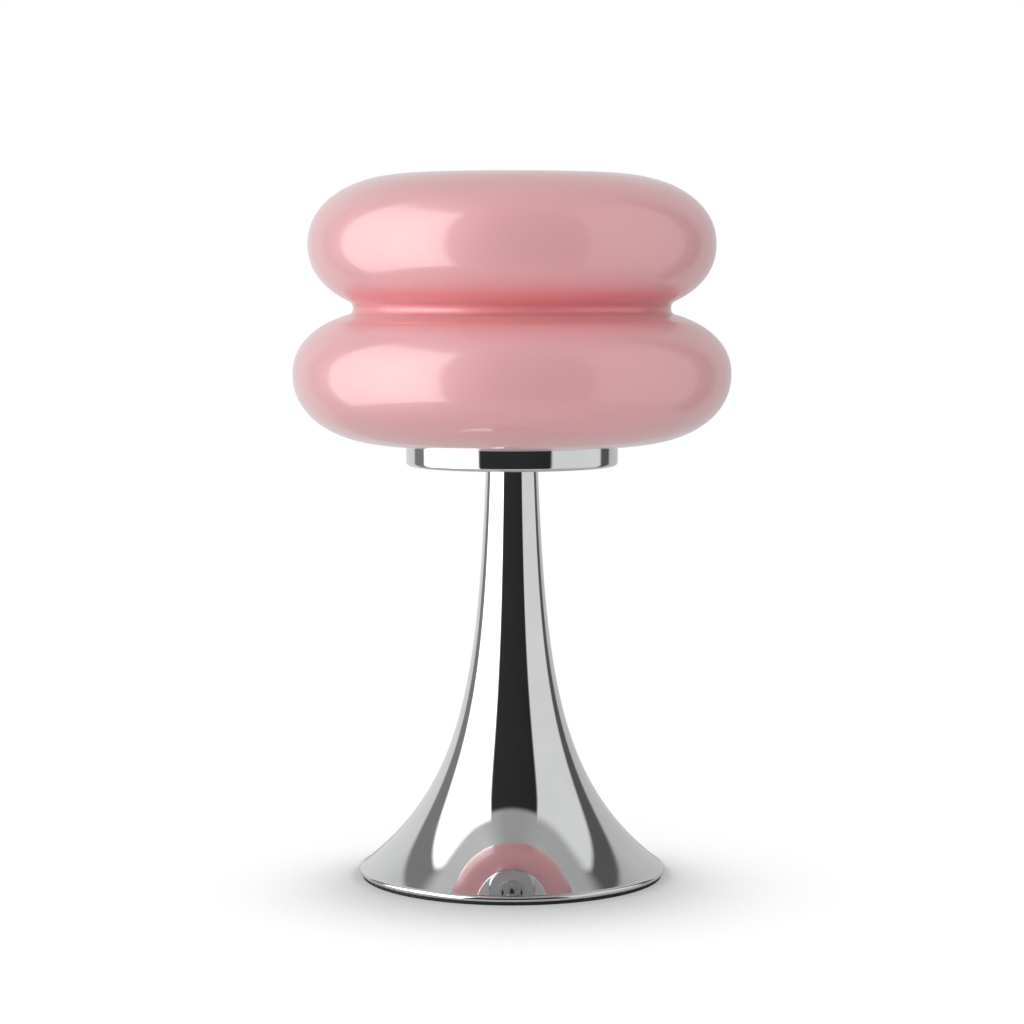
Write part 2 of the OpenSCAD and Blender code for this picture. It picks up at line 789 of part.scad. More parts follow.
module driver_parts() {
    color(black) {
        for (a = [20, 70, 110])
            rotate(a)
                translate([parts_r, 0, driver_top_z + chip_h / 2])
                    cube([chip_l, chip_w, chip_h], center = true);
        rotate(200)
            translate([parts_r, 0, driver_top_z + inductor_h / 2])
                cube([inductor_w, inductor_w, inductor_h], center = true);
        for (a = [230, 255, 310, 335])
            rotate(a)
                translate([parts_r, 0, driver_top_z])
                    cylinder(r = capacitor_r, h = capacitor_h);
    }
}

module driver_screws() {
    color(steel)
        at_circle(driver_screw_circle_r, 3, 45)
            translate([0, 0, driver_top_z])
                small_screw(board_t + boss_h * 0.9);
}

module pillars() {
    stud = clamp_t * 0.9;
    color(brass)
        at_corners(pillar_x, pillar_y)
            difference() {
                union() {
                    translate([0, 0, weight_top_z])
                        cylinder(r = pillar_r, h = clamp_z - weight_top_z);
                    translate([0, 0, clamp_z - slack])
                        cylinder(r = screw_r, h = stud + slack);
                }
                translate([0, 0, weight_top_z - slack])
                    cylinder(r = screw_r + screw_gap / 2, h = screw_length);
            }
}

module battery_tray() {
    rear_y = port_floor_y - bezel_wall - tray_gap;
    color(black)
        difference() {
            union() {
                difference() {
                    translate([-tray_x - tray_wall, -tray_y - tray_wall, weight_top_z])
                        cube([2 * (tray_x + tray_wall), 2 * (tray_y + tray_wall), tray_floor + tray_wall_h]);
                    translate([-tray_x, -tray_y, tray_top_z])
                        cube([2 * tray_x, 2 * tray_y, tray_wall_h + slack]);
                }
                for (side = [-1, 1])
                    translate([side * rib_x - rib_w / 2, -tray_y - slack, weight_top_z + slack])
                        cube([rib_w, 2 * (tray_y + slack), tray_floor + rib_h - slack]);
                translate([-tongue_x, switch_board_y, weight_top_z])
                    cube([2 * tongue_x, -tray_y - switch_board_y, tray_floor]);
                translate([-tongue_x, -tray_y - tray_wall, weight_top_z])
                    cube([2 * tongue_x, tray_wall, switch_board_z - weight_top_z]);
                translate([-tongue_x, tray_y, weight_top_z])
                    cube([2 * tongue_x, rear_y - tray_y, tray_floor]);
                at_corners(ear_x, ear_y)
                    translate([0, 0, weight_top_z])
                        cylinder(r = ear_r, h = tray_floor);
                for (side = [-1, 1]) {
                    translate([side * switch_screw_x, switch_screw_y, weight_top_z])
                        cylinder(r = tray_boss_r, h = switch_board_z - weight_top_z);
                    translate([side * charge_screw_x, charge_screw_y, weight_top_z])
                        cylinder(r = tray_boss_r, h = charge_board_z - weight_top_z);
                }
            }
            for (side = [-1, 1])
                translate([-tray_x, side * cell_y, cell_z])
                    rotate([0, 90, 0])
                        cylinder(d = cell_d, h = 2 * tray_x);
            translate([0, -button_y, weight_top_z - slack])
                cylinder(r = bush_flange_r + tray_gap, h = tray_floor + 2 * slack);
            at_corners(ear_x, ear_y)
                translate([0, 0, weight_top_z - slack])
                    cylinder(r = small_hole_r, h = tray_floor + 2 * slack);
            for (side = [-1, 1]) {
                translate([side * switch_screw_x, switch_screw_y, switch_board_z - screw_bite - slack])
                    cylinder(r = small_bore_r, h = screw_bite + 2 * slack);
                translate([side * charge_screw_x, charge_screw_y, charge_board_z - shallow_bite - slack])
                    cylinder(r = small_bore_r, h = shallow_bite + 2 * slack);
            }
        }
}

module tray_screws() {
    color(steel)
        at_corners(ear_x, ear_y)
            translate([0, 0, tray_top_z])
                small_screw(tray_floor + weight_h * 0.5);
}

module battery_cell(side) {
    color("#3d6fb0")
        translate([0, side * cell_y, cell_z])
            rotate([0, side * 90, 0])
                rotate_extrude()
                    polygon([
                        [0, -cell_length / 2], [cell_d / 2 - cell_edge, -cell_length / 2],
                        [cell_d / 2, -cell_length / 2 + cell_edge],
                        [cell_d / 2, cell_length / 2 - cell_edge - nub_h],
                        [cell_d / 2 - cell_edge, cell_length / 2 - nub_h], [nub_r, cell_length / 2 - nub_h],
                        [nub_r, cell_length / 2], [0, cell_length / 2]
                    ]);
}

module battery_cell_front() {
    battery_cell(-1);
}

module battery_cell_rear() {
    battery_cell(1);
}

// One plate joins both cells at +X, and each cell has a tab of its own at -X
module cell_contacts() {
    tab_z = tray_top_z + contact_lift;
    tab_h = cell_z + cell_d / 4 - tab_z;
    tab_y = cell_y + nub_r;
    color(steel) {
        translate([cell_length / 2, -tab_y, tab_z])
            cube([tab_t, 2 * tab_y, tab_h]);
        for (low = [-tab_y, contact_split / 2])
            translate([-cell_length / 2 - tab_t, low, tab_z])
                cube([tab_t, tab_y - contact_split / 2, tab_h]);
    }
}

module charge_board() {
    color(circuit_green)
        difference() {
            translate([-charge_board_w / 2, charge_board_y, charge_board_z])
                cube([charge_board_w, charge_board_l - bezel_wall, board_t]);
            for (side = [-1, 1])
                translate([side * charge_screw_x, charge_screw_y, charge_board_z - slack])
                    cylinder(r = small_hole_r, h = board_t + 2 * slack);
        }
}

module charge_board_screws() {
    color(steel)
        for (side = [-1, 1])
            translate([side * charge_screw_x, charge_screw_y, charge_board_z + board_t])
                small_screw(board_t + shallow_bite);
}

module charge_socket() {
    translate([0, port_floor_y, port_z])
        rotate([90, 0, 0]) {
            color(steel)
                difference() {
                    linear_extrude(socket_depth)
                        polygon(slot_points(socket_w, socket_h));
                    translate([0, 0, -slack])
                        linear_extrude(socket_depth - socket_back + slack)
                            polygon(slot_points(socket_w - 2 * socket_shell, socket_h - 2 * socket_shell));
                }
            color(black)
                translate([-socket_tongue_w / 2, -socket_tongue_t / 2,
                           socket_depth - socket_back - socket_tongue_l])
                    cube([socket_tongue_w, socket_tongue_t, socket_tongue_l + socket_back / 8]);
        }
}

module port_bezel() {
    color(black)
        difference() {
            intersection() {
                port_cut(0);
                rotate_extrude()
                    polygon(concat([[0, foot_z]], [for (p = flare_outer) if (p[1] < port_z + 2 * port_h) p],
                        [[0, max([for (p = flare_outer) if (p[1] < port_z + 2 * port_h) p[1]])]]));
            }
            translate([0, port_floor_y, port_z])
                rotate([90, 0, 180])
                    linear_extrude(foot_r)
                        polygon(slot_points(port_w, port_h));
            translate([0, port_floor_y - 2 * bezel_wall, port_z])
                rotate([90, 0, 180])
                    linear_extrude(3 * bezel_wall)
                        polygon(slot_points(socket_w + 2 * socket_fit, socket_h + 2 * socket_fit));
        }
}

module base_weight() {
    head_r = 2 * screw_r;
    color(black)
        difference() {
            rotate_extrude()
                polygon([
                    [0, pad_h], [cavity_r(foot_z) - weight_gap, pad_h],
                    [cavity_r(foot_z) - weight_gap, foot_z - weight_gap],
                    [cavity_r(weight_top_z) - weight_gap, weight_top_z], [0, weight_top_z]
                ]);
            translate([0, -button_y, pad_h - slack])
                cylinder(r = bush_r + bush_fit, h = weight_h + 2 * slack);
            at_corners(pillar_x, pillar_y) {
                translate([0, 0, pad_h - slack])
                    cylinder(r = screw_r + screw_gap, h = weight_h + 2 * slack);
                translate([0, 0, pad_h])
                    cylinder(r1 = head_r, r2 = screw_r, h = head_r - screw_r);
            }
            at_corners(ear_x, ear_y)
                translate([0, 0, weight_top_z - weight_h * 0.6])
                    cylinder(r = small_bore_r, h = weight_h);
        }
}

module base_screws() {
    head_r = 2 * screw_r - screw_gap;
    color(steel)
        at_corners(pillar_x, pillar_y)
            difference() {
                union() {
                    translate([0, 0, pad_h])
                        cylinder(r1 = head_r, r2 = screw_r, h = head_r - screw_r);
                    translate([0, 0, pad_h])
                        cylinder(r = screw_r, h = weight_h + screw_length * 0.9);
                }
                for (a = [0, 90])
                    rotate(a)
                        translate([-head_r * 0.6, -drive_w / 2, pad_h - slack])
                            cube([head_r * 1.2, drive_w, slack + screw_r * 0.6]);
            }
}

module foot_pad() {
    color(black)
        tube(foot_r, pad_inner_r, 0, pad_h);
}

module button_bush() {
    color(black)
        translate([0, -button_y, 0])
            difference() {
                union() {
                    translate([0, 0, pad_h])
                        cylinder(r = bush_r, h = weight_h + bush_flange_t);
                    translate([0, 0, weight_top_z])
                        cylinder(r = bush_flange_r, h = bush_flange_t);
                }
                translate([0, 0, pad_h - slack])
                    cylinder(r = button_bore_r, h = weight_h + bush_flange_t + 2 * slack);
            }
}

module power_button() {
    color(chrome)
        translate([0, -button_y, 0]) {
            translate([0, 0, button_clear])
                cylinder(r1 = button_r - button_edge, r2 = button_r, h = button_edge);
            translate([0, 0, button_clear + button_edge])
                cylinder(r = button_r, h = button_rim_z - button_clear - button_edge);
            translate([0, 0, button_rim_z])
                cylinder(r = button_r + rim_w, h = button_rim_t);
            translate([0, 0, button_rim_top_z])
                cylinder(r = button_post_r, h = button_post_h);
        }
}

module button_spring() {
    steps = 14;
    wire_sides = 6;
    low = button_rim_top_z + spring_wire / 2;
    high = switch_board_z - spring_wire / 2;
    rings = spring_turns * steps + 1;
    gap = (high - low) / spring_turns - spring_wire;
    echo(least_gap_between_spring_turns = gap);
    points = [
        for (i = [0:rings - 1], k = [0:wire_sides - 1])
            let (a = 360 * i / steps, b = 360 * k / wire_sides, out = spring_r + spring_wire / 2 * cos(b))
            [out * cos(a), out * sin(a), low + (high - low) * i / (rings - 1) + spring_wire / 2 * sin(b)]
    ];
    sides = [
        for (i = [0:rings - 2], k = [0:wire_sides - 1])
            let (a = i * wire_sides + k, b = i * wire_sides + (k + 1) % wire_sides)
            [[a, b, b + wire_sides], [a, b + wire_sides, a + wire_sides]]
    ];
    caps = [
        [for (k = [wire_sides - 1:-1:0]) k],
        [for (k = [0:wire_sides - 1]) (rings - 1) * wire_sides + k]
    ];
    color(steel)
        translate([0, -button_y, 0])
            polyhedron(points, concat([for (pair = sides, face = pair) face], caps));
}

module tactile_switch() {
    color(black)
        translate([0, -button_y, 0]) {
            translate([-switch_side / 2, -switch_side / 2, switch_z])
                cube([switch_side, switch_side, switch_h]);
            translate([0, 0, plunger_z])
                cylinder(r = plunger_r, h = plunger_h + slack);
        }
}

module switch_board() {
    color(circuit_green)
        difference() {
            translate([-switch_board_w / 2, switch_board_y, switch_board_z])
                cube([switch_board_w, -tray_y - switch_board_y, board_t]);
            for (side = [-1, 1])
                translate([side * switch_screw_x, switch_screw_y, switch_board_z - slack])
                    cylinder(r = small_hole_r, h = board_t + 2 * slack);
        }
}

module switch_board_screws() {
    color(steel)
        for (side = [-1, 1])
            translate([side * switch_screw_x, switch_screw_y, switch_board_z + board_t])
                small_screw(board_t + screw_bite);
}

module led_lead() {
    color(lead_red)
        lead(led_route, [0, 1, 0], lead_d);
}

module battery_leads() {
    color(lead_red)
        for (shift = [-battery_lead_shift, battery_lead_shift])
            lead(battery_route(shift), [0, 1, 0], lead_d);
}

module switch_lead() {
    color(lead_red)
        lead(switch_route, [1, 0, 0], lead_d);
}

module charge_lead() {
    color(lead_red)
        lead(charge_route, [1, 0, 0], lead_d);
}

glass_shade();
shade_neck_ring();
shade_gasket();
magnet_carrier();
shade_magnets();
collar();
heat_sink();
heat_sink_screws();
led_board();
led_board_screws();
led_chips();
diffuser_dome();
top_washer();
top_nut();
tie_rod();
trumpet_base();
clamp_plate();
lock_nut();
driver_board();
driver_parts();
driver_screws();
pillars();
battery_tray();
tray_screws();
battery_cell_front();
battery_cell_rear();
cell_contacts();
charge_board();
charge_board_screws();
charge_socket();
port_bezel();
base_weight();
base_screws();
foot_pad();
button_bush();
power_button();
button_spring();
tactile_switch();
switch_board();
switch_board_screws();
led_lead();
battery_leads();
switch_lead();
charge_lead();
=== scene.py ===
"""Cordless table lamp: a lift-off opal glass shade of two stacked rings on a chrome trumpet base."""

import json
import math

import bmesh
import bpy
from bpy.props import FloatProperty, FloatVectorProperty, IntProperty, PointerProperty
from mathutils import Matrix, Vector


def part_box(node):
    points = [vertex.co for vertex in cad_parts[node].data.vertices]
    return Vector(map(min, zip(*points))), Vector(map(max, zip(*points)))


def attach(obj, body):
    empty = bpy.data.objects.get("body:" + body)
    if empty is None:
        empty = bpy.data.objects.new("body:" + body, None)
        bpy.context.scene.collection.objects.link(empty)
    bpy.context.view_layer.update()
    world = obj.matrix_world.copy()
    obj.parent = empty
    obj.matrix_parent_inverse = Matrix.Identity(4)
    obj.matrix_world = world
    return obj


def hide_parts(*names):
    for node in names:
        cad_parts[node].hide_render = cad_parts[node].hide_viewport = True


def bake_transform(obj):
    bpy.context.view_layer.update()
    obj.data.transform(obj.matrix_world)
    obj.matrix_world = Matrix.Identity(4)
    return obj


bl_info = {
    "name": "Double ring table lamp",
    "version": (1, 0, 0),
    "blender": (4, 5, 0),
    "location": "View3D > Sidebar > Lamp",
    "description": "Builds the glass, the chrome and the fittings of a cordless table lamp",
    "category": "Add Mesh",
}

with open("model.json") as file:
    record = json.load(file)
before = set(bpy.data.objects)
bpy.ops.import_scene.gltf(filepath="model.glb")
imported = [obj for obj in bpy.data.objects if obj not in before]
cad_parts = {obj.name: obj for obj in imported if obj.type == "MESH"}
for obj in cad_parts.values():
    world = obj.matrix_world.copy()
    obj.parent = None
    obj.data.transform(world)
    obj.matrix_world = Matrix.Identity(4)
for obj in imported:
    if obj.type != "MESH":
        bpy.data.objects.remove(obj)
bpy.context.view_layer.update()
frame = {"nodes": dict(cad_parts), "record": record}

FULL_TURN = 2 * math.pi

# Roundings of edges that have no size of their own, in metres
FINE_EDGE = 0.0001
RIM_EDGE = 0.0003


def length(name, description, millimetres):
    """A length property, given in millimetres and kept in metres."""
    return FloatProperty(
        name=name, description=description, default=millimetres / 1000, subtype="DISTANCE", unit="LENGTH"
    )


def colour(name, description, value):
    """A colour property."""
    return FloatVectorProperty(
        name=name, description=description, default=value, subtype="COLOR", min=0, max=1
    )


def level(name, description, value):
    """A plain number property."""
    return FloatProperty(name=name, description=description, default=value)


class LampGlassSizes(bpy.types.PropertyGroup):
    """Sizes and colours of the blown shade."""

    upper_r: length("Upper ring radius", "Outer radius of the upper glass ring", 81.3)
    upper_bulge: length("Upper bulge", "How far the upper ring bulges out from its flat top", 42.5)
    upper_z: length("Upper ring height", "Height of the widest line of the upper ring", 253.75)
    upper_rise: length("Upper rise", "Height of the upper ring above its widest line", 28)
    upper_drop: length("Upper drop", "Depth of the upper ring below its widest line", 27.5)
    lower_r: length("Lower ring radius", "Outer radius of the lower glass ring", 87.5)
    lower_bulge: length("Lower bulge", "How far the lower ring bulges out from its underside", 40.6)
    lower_z: length("Lower ring height", "Height of the widest line of the lower ring", 202.45)
    lower_rise: length("Lower rise", "Height of the lower ring above its widest line", 25.8)
    lower_drop: length("Lower drop", "Depth of the lower ring below its widest line", 28.1)
    waist_r: length("Waist radius", "Outer radius of the waist between the rings", 63.4)
    waist_round: length("Waist rounding", "Depth over which the waist is rounded", 1.5)
    fullness: level("Ring fullness", "Power of the ring curves, where 2 is an ellipse", 2.15)
    wall: length("Glass wall", "Thickness of the glass", 2.6)
    top_dip: length("Top dish", "Depth of the shallow dish in the closed top", 1.2)
    neck_r: length("Neck radius", "Outer radius of the glass neck", 39.9)
    neck_z: length("Neck height", "Height of the neck's lower rim", 172)
    ring_wall: length("Neck ring wall", "Radial width of the steel ring on the neck", 0.45)
    ring_t: length("Neck ring depth", "Thickness of the steel ring under the neck", 1)
    ring_lap: length("Neck ring lap", "How far the steel ring laps up the neck", 1.645)
    tint: colour("Glass colour", "Colour of the opal glass", (0.93, 0.40, 0.43))
    # Painted shade: the deeper colour that the crease of the waist is painted with.
    waist_shade_tint: colour("Deep colour", "Colour of the glass in the waist", (0.94, 0.22, 0.25))


class LampHeadSizes(bpy.types.PropertyGroup):
    """Sizes of the collar and the diffuser."""

    collar_r: length("Collar radius", "Outer radius of the chrome collar", 42.4)
    collar_wall: length("Collar wall", "Thickness of the collar's rim", 1.5)
    collar_z: length("Collar base", "Height of the collar's underside", 165.7)
    collar_floor: length("Collar floor", "Thickness of the collar's floor", 2)
    collar_top: length("Collar top", "Height of the collar's rim", 174.05)
    collar_round: length("Collar rounding", "Rounding of the collar's lower edge", 1.6)
    rod_hole_r: length("Rod hole radius", "Radius of the hole for the tie rod", 5)
    dome_r: length("Dome radius", "Outer radius of the diffuser dome", 30.6)
    dome_wall: length("Dome wall", "Thickness of the diffuser dome", 1.6)
    dome_z: length("Dome base", "Height of the dome's lower edge", 176.5)
    dome_skirt: length("Dome skirt", "Height of the dome's upright skirt", 3)
    dome_h: length("Dome height", "Height of the dome over its lower edge", 26)


class LampTrumpetSizes(bpy.types.PropertyGroup):
    """Sizes of the spun trumpet base and its charging port."""

    top_z: length("Stem top", "Height of the top of the stem", 165.7)
    stem_r: length("Stem radius", "Radius at the top of the stem", 10.4)
    taper: length("Stem taper", "Radius that the stem gains evenly on its way down", 3.3)
    foot_r: length("Flare radius", "Radius of the flare at the foot", 60.6)
    ratio: level("Flare ratio", "How sharply the flare opens", 4.3)
    wall: length("Shell wall", "Thickness of the spun shell", 1.5)
    foot_z: length("Flare base", "Height at which the flare meets its rolled bead", 3.8)
    bead_r: length("Bead radius", "Radius of the rolled bead", 1.2)
    dish: level("Brim dish", "How much the front of the brim leans up", 0.25)
    dish_z: length("Brim dish height", "Height at which the lean of the brim has faded", 38)
    port_z: length("Port height", "Height of the charging port's centre", 12.2)
    port_w: length("Port width", "Width of the recess in the bezel", 12.8)
    port_h: length("Port recess height", "Height of the recess in the bezel", 6.8)
    bezel_wall: length("Bezel wall", "Width of the bezel round the recess", 1.4)
    port_y: length("Port floor", "Distance from the lamp's axis to the floor of the port", 43)
    socket_w: length("Socket width", "Width of the socket's shell", 8.94)
    socket_h: length("Socket height", "Height of the socket's shell", 3.26)
    socket_depth: length("Socket depth", "Depth of the socket's shell", 7.3)


class LampFootSizes(bpy.types.PropertyGroup):
    """Sizes of the foot pad and the button under the foot."""

    pad_r: length("Pad radius", "Outer radius of the foot pad", 60.6)
    pad_inner_r: length("Pad inner radius", "Inner radius of the foot pad", 44)
    pad_h: length("Pad thickness", "Thickness of the foot pad", 1.4)
    grooves: IntProperty(name="Pad grooves", description="Grooves under the pad", default=5, min=0)
    button_y: length("Button place", "Distance of the button in front of the axis", 30.97)
    button_r: length("Button radius", "Radius of the button's face", 6)
    button_z: length("Button face", "Height of the button's face", 0.6)
    rim_z: length("Rim height", "Height of the button's inner rim", 7.7)
    rim_t: length("Rim thickness", "Thickness of the button's inner rim", 0.8)
    rim_w: length("Rim width", "How far the inner rim stands out", 0.9)
    post_r: length("Post radius", "Radius of the post on the button", 1.5)
    post_h: length("Post height", "Height of the post on the button", 1.2)
    spring_wire: length("Spring wire", "Thickness of the spring's wire", 0.6)
    spring_turns: IntProperty(
        name="Spring turns", description="Turns of the button's spring", default=4, min=1
    )


class LampStageSizes(bpy.types.PropertyGroup):
    """Sizes of the floor and the camera."""

    floor_r: length("Floor radius", "Radius of the pale table top", 330)
    opening_r: length("Opening radius", "Radius of the table top's opening, which the foot covers", 58)
    floor_tint: colour("Floor colour", "Colour of the pale table top", (0.85, 0.85, 0.85))
    distance: length("Camera distance", "Distance of the camera in front of the axis", 1142.8)
    height: length("Camera height", "Height of the camera", 240.84)
    pitch: FloatProperty(
        name="Camera pitch", description="How far the camera looks down", default=math.radians(4.7),
        subtype="ANGLE", unit="ROTATION",
    )
    lens: FloatProperty(name="Lens", description="Focal length in millimetres", default=100.44)


SETTINGS = {
    "lamp_glass": LampGlassSizes,
    "lamp_head": LampHeadSizes,
    "lamp_trumpet": LampTrumpetSizes,
    "lamp_foot": LampFootSizes,
    "lamp_stage": LampStageSizes,
}


# Outlines

def rounded(corners, steps=5):
    """Closed outline through corners of radius, height and fillet, with each fillet a run of points."""
    outline = []
    for i, (x, z, fillet) in enumerate(corners):
        here = Vector((x, z))
        if not fillet:
            outline.append(here)
            continue
        before = (Vector(corners[i - 1][:2]) - here).normalized()
        after = (Vector(corners[(i + 1) % len(corners)][:2]) - here).normalized()
        half = before.angle(after) / 2
        centre = here + (before + after).normalized() * fillet / math.sin(half)
        start = here + before * fillet / math.tan(half) - centre
        end = here + after * fillet / math.tan(half) - centre
        turn = start.angle(end)
        for k in range(steps + 1):
            t = k / steps
            outline.append(
                centre + start * math.sin((1 - t) * turn) / math.sin(turn)
                + end * math.sin(t * turn) / math.sin(turn)
            )
    return outline


def spread(low, high, steps):
    """Even steps from low to high."""
    return [low + (high - low) * i / steps for i in range(steps + 1)]


def full_curve(value, fullness):
    """Cosine or sine of a superellipse."""
    return math.copysign(abs(value) ** (2 / fullness), value)


def ring_point(r, bulge, z, rise, drop, fullness, angle):
    """Point on the outline of a glass ring, from its top at a quarter turn to its underside."""
    at_pole = abs(angle) >= math.pi / 2 - 1e-9
    across = 0 if at_pole else full_curve(math.cos(angle), fullness)
    along = full_curve(math.sin(angle), fullness)
    return Vector((r - bulge + bulge * across, z + (rise if angle > 0 else drop) * along))


def ring_angle(r, bulge, fullness, at_r):
    """Angle at which a glass ring has narrowed to a radius."""
    return math.acos(((at_r - r + bulge) / bulge) ** (fullness / 2))


def bezier(a, b, c, d, t):
    """Point on a cubic curve."""
    return (1 - t) ** 3 * a + 3 * t * (1 - t) ** 2 * b + 3 * t * t * (1 - t) * c + t ** 3 * d


def glass_outline(g, steps=56, join_steps=16):
    """Outside of the glass, from the axis at the top down to the edge of the underside."""
    top = g.upper_z + g.upper_rise
    flat_r = g.upper_r - g.upper_bulge
    dish = [
        Vector((flat_r * x, top - g.top_dip * (1 + math.cos(math.pi * x)) / 2))
        for x in spread(0, 1, join_steps)[:-1]
    ]
    join_r = g.waist_r + g.waist_round
    upper_join = ring_angle(g.upper_r, g.upper_bulge, g.fullness, join_r)
    lower_join = ring_angle(g.lower_r, g.lower_bulge, g.fullness, join_r)
    upper = [
        ring_point(g.upper_r, g.upper_bulge, g.upper_z, g.upper_rise, g.upper_drop, g.fullness, a)
        for a in spread(math.pi / 2, -upper_join, steps)
    ]
    lower = [
        ring_point(g.lower_r, g.lower_bulge, g.lower_z, g.lower_rise, g.lower_drop, g.fullness, a)
        for a in spread(lower_join, -math.pi / 2, steps)
    ]
    inward = (upper[-1] - upper[-2]).normalized()
    outward = (lower[0] - lower[1]).normalized()
    reach = (g.waist_r - join_r) * 8 / (3 * (inward.x + outward.x))
    waist = [
        bezier(upper[-1], upper[-1] + inward * reach, lower[0] + outward * reach, lower[0], t)
        for t in spread(0, 1, join_steps)[1:-1]
    ]
    return dish + upper + waist + lower


def moved_inwards(outline, wall):
    """Every point but the first moved inwards, square to the outline."""
    moved = []
    for i in range(1, len(outline)):
        along = (outline[min(i + 1, len(outline) - 1)] - outline[i - 1]).normalized()
        moved.append(outline[i] + Vector((along.y, -along.x)) * wall)
    return moved


def flare_r(t, z):
    """Outer radius of the trumpet at a height."""
    share = (z - t.foot_z) / (t.top_z - t.foot_z)
    rest = math.exp(-t.ratio)
    opened = (math.exp(-t.ratio * share) - rest) / (1 - rest)
    return t.stem_r + t.taper * (1 - share) + (t.foot_r - t.stem_r - t.taper) * opened


def cavity_r(t, z):
    """Inner radius of the trumpet at a height."""
    step = 1e-5
    slope = (flare_r(t, z + step) - flare_r(t, z)) / step
    return flare_r(t, z) - t.wall * math.sqrt(1 + slope * slope)


def trumpet_outline(t, steps=110, bead_steps=18, crowding=1.5):
    """Closed outline of the spun trumpet, with its rolled bead and its points crowded towards the foot."""
    bead = [
        Vector((t.foot_r + t.bead_r * math.cos(a), t.foot_z - t.bead_r + t.bead_r * math.sin(a)))
        for a in spread(-math.pi / 2, math.pi / 2, bead_steps)
    ]
    heights = [t.foot_z + (t.top_z - t.foot_z) * x ** crowding for x in spread(0, 1, steps)]
    outside = [Vector((flare_r(t, z), z)) for z in heights[1:-1]]
    ceiling = t.top_z - t.wall
    inside = [Vector((cavity_r(t, z), z)) for z in reversed(heights[::2]) if z < ceiling]
    top = [
        Vector((t.stem_r - RIM_EDGE * (1 - math.cos(a)), t.top_z - RIM_EDGE + RIM_EDGE * math.sin(a)))
        for a in spread(0, math.pi / 2, 4)
    ]
    hole_r = bpy.context.scene.lamp_head.rod_hole_r
    head = [
        Vector((hole_r, t.top_z)), Vector((hole_r, ceiling)), Vector((cavity_r(t, ceiling), ceiling)),
    ]
    floor_z = t.foot_z - 2 * t.bead_r
    return bead + outside + top + head + inside + [Vector((cavity_r(t, t.foot_z), floor_z))]


def slot_outline(w, h, straight=8, turn=14):
    """Slot with round ends, as points across and up from its centre."""
    side = (w - h) / 2
    right = [Vector((side + h / 2 * math.cos(a), h / 2 * math.sin(a)))
             for a in spread(-math.pi / 2, math.pi / 2, turn)]
    left = [Vector((-p.x, -p.y)) for p in right]
    over = [Vector((x, h / 2)) for x in spread(side, -side, straight)[1:-1]]
    under = [Vector((-p.x, -p.y)) for p in over]
    return right + over + left + under


# Mesh making

def lathe(bm, outline, closed=True, steps=192):
    """Spins an outline of radii and heights once round the upright axis."""
    verts = [bm.verts.new((p.x, 0, p.y)) for p in outline]
    edges = [bm.edges.new((a, b)) for a, b in zip(verts, verts[1:])]
    if closed:
        edges.append(bm.edges.new((verts[-1], verts[0])))
    bmesh.ops.spin(
        bm, geom=verts + edges, axis=(0, 0, 1), cent=(0, 0, 0), angle=FULL_TURN, steps=steps,
        use_merge=True,
    )
    bmesh.ops.remove_doubles(bm, verts=bm.verts, dist=1e-6)
    bmesh.ops.recalc_face_normals(bm, faces=bm.faces)


def edge_loop(bm, points):
    """Closed loop of edges through points."""
    verts = [bm.verts.new(p) for p in points]
    return [bm.edges.new((a, verts[(i + 1) % len(verts)])) for i, a in enumerate(verts)]


def loft(bm, rings, closed=False):
    """Bridges each loop of edges to the next."""
    pairs = list(zip(rings, rings[1:]))
    if closed:
        pairs.append((rings[-1], rings[0]))
    for a, b in pairs:
        bmesh.ops.bridge_loops(bm, edges=a + b)


def block(bm, centre, size, edge=0.0):
    """A box with its edges rounded."""
    place = Matrix.Translation(centre) @ Matrix.Diagonal((*size, 1))
    made = bmesh.ops.create_cube(bm, size=1, matrix=place)
    if edge:
        edges = {e for v in made["verts"] for e in v.link_edges}
        bmesh.ops.bevel(
            bm, geom=list(edges), offset=edge, affect="EDGES", segments=2, profile=0.5, material=-1
        )


def make_piece(name, bm, slot, body, replaced=(), sharp=32):
    """Turns a bmesh into a smooth piece that rides on a body, where one is named."""
    mesh = bpy.data.meshes.new(name)
    bm.to_mesh(mesh)
    bm.free()
    mesh.shade_smooth()
    mesh.set_sharp_from_angle(angle=math.radians(sharp))
    piece = bpy.data.objects.new(name, mesh)
    bpy.context.scene.collection.objects.link(piece)
    mesh.materials.append(finish(slot))
    if body:
        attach(piece, body)
    if replaced:
        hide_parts(*replaced)
    return piece


def applied(piece):
    """Keeps the shape that a piece's modifiers give it and drops them."""
    evaluated = piece.evaluated_get(bpy.context.evaluated_depsgraph_get())
    mesh = bpy.data.meshes.new_from_object(evaluated)
    piece.modifiers.clear()
    old, piece.data = piece.data, mesh
    bpy.data.meshes.remove(old)
    mesh.name = piece.name
    return mesh


# Finishes

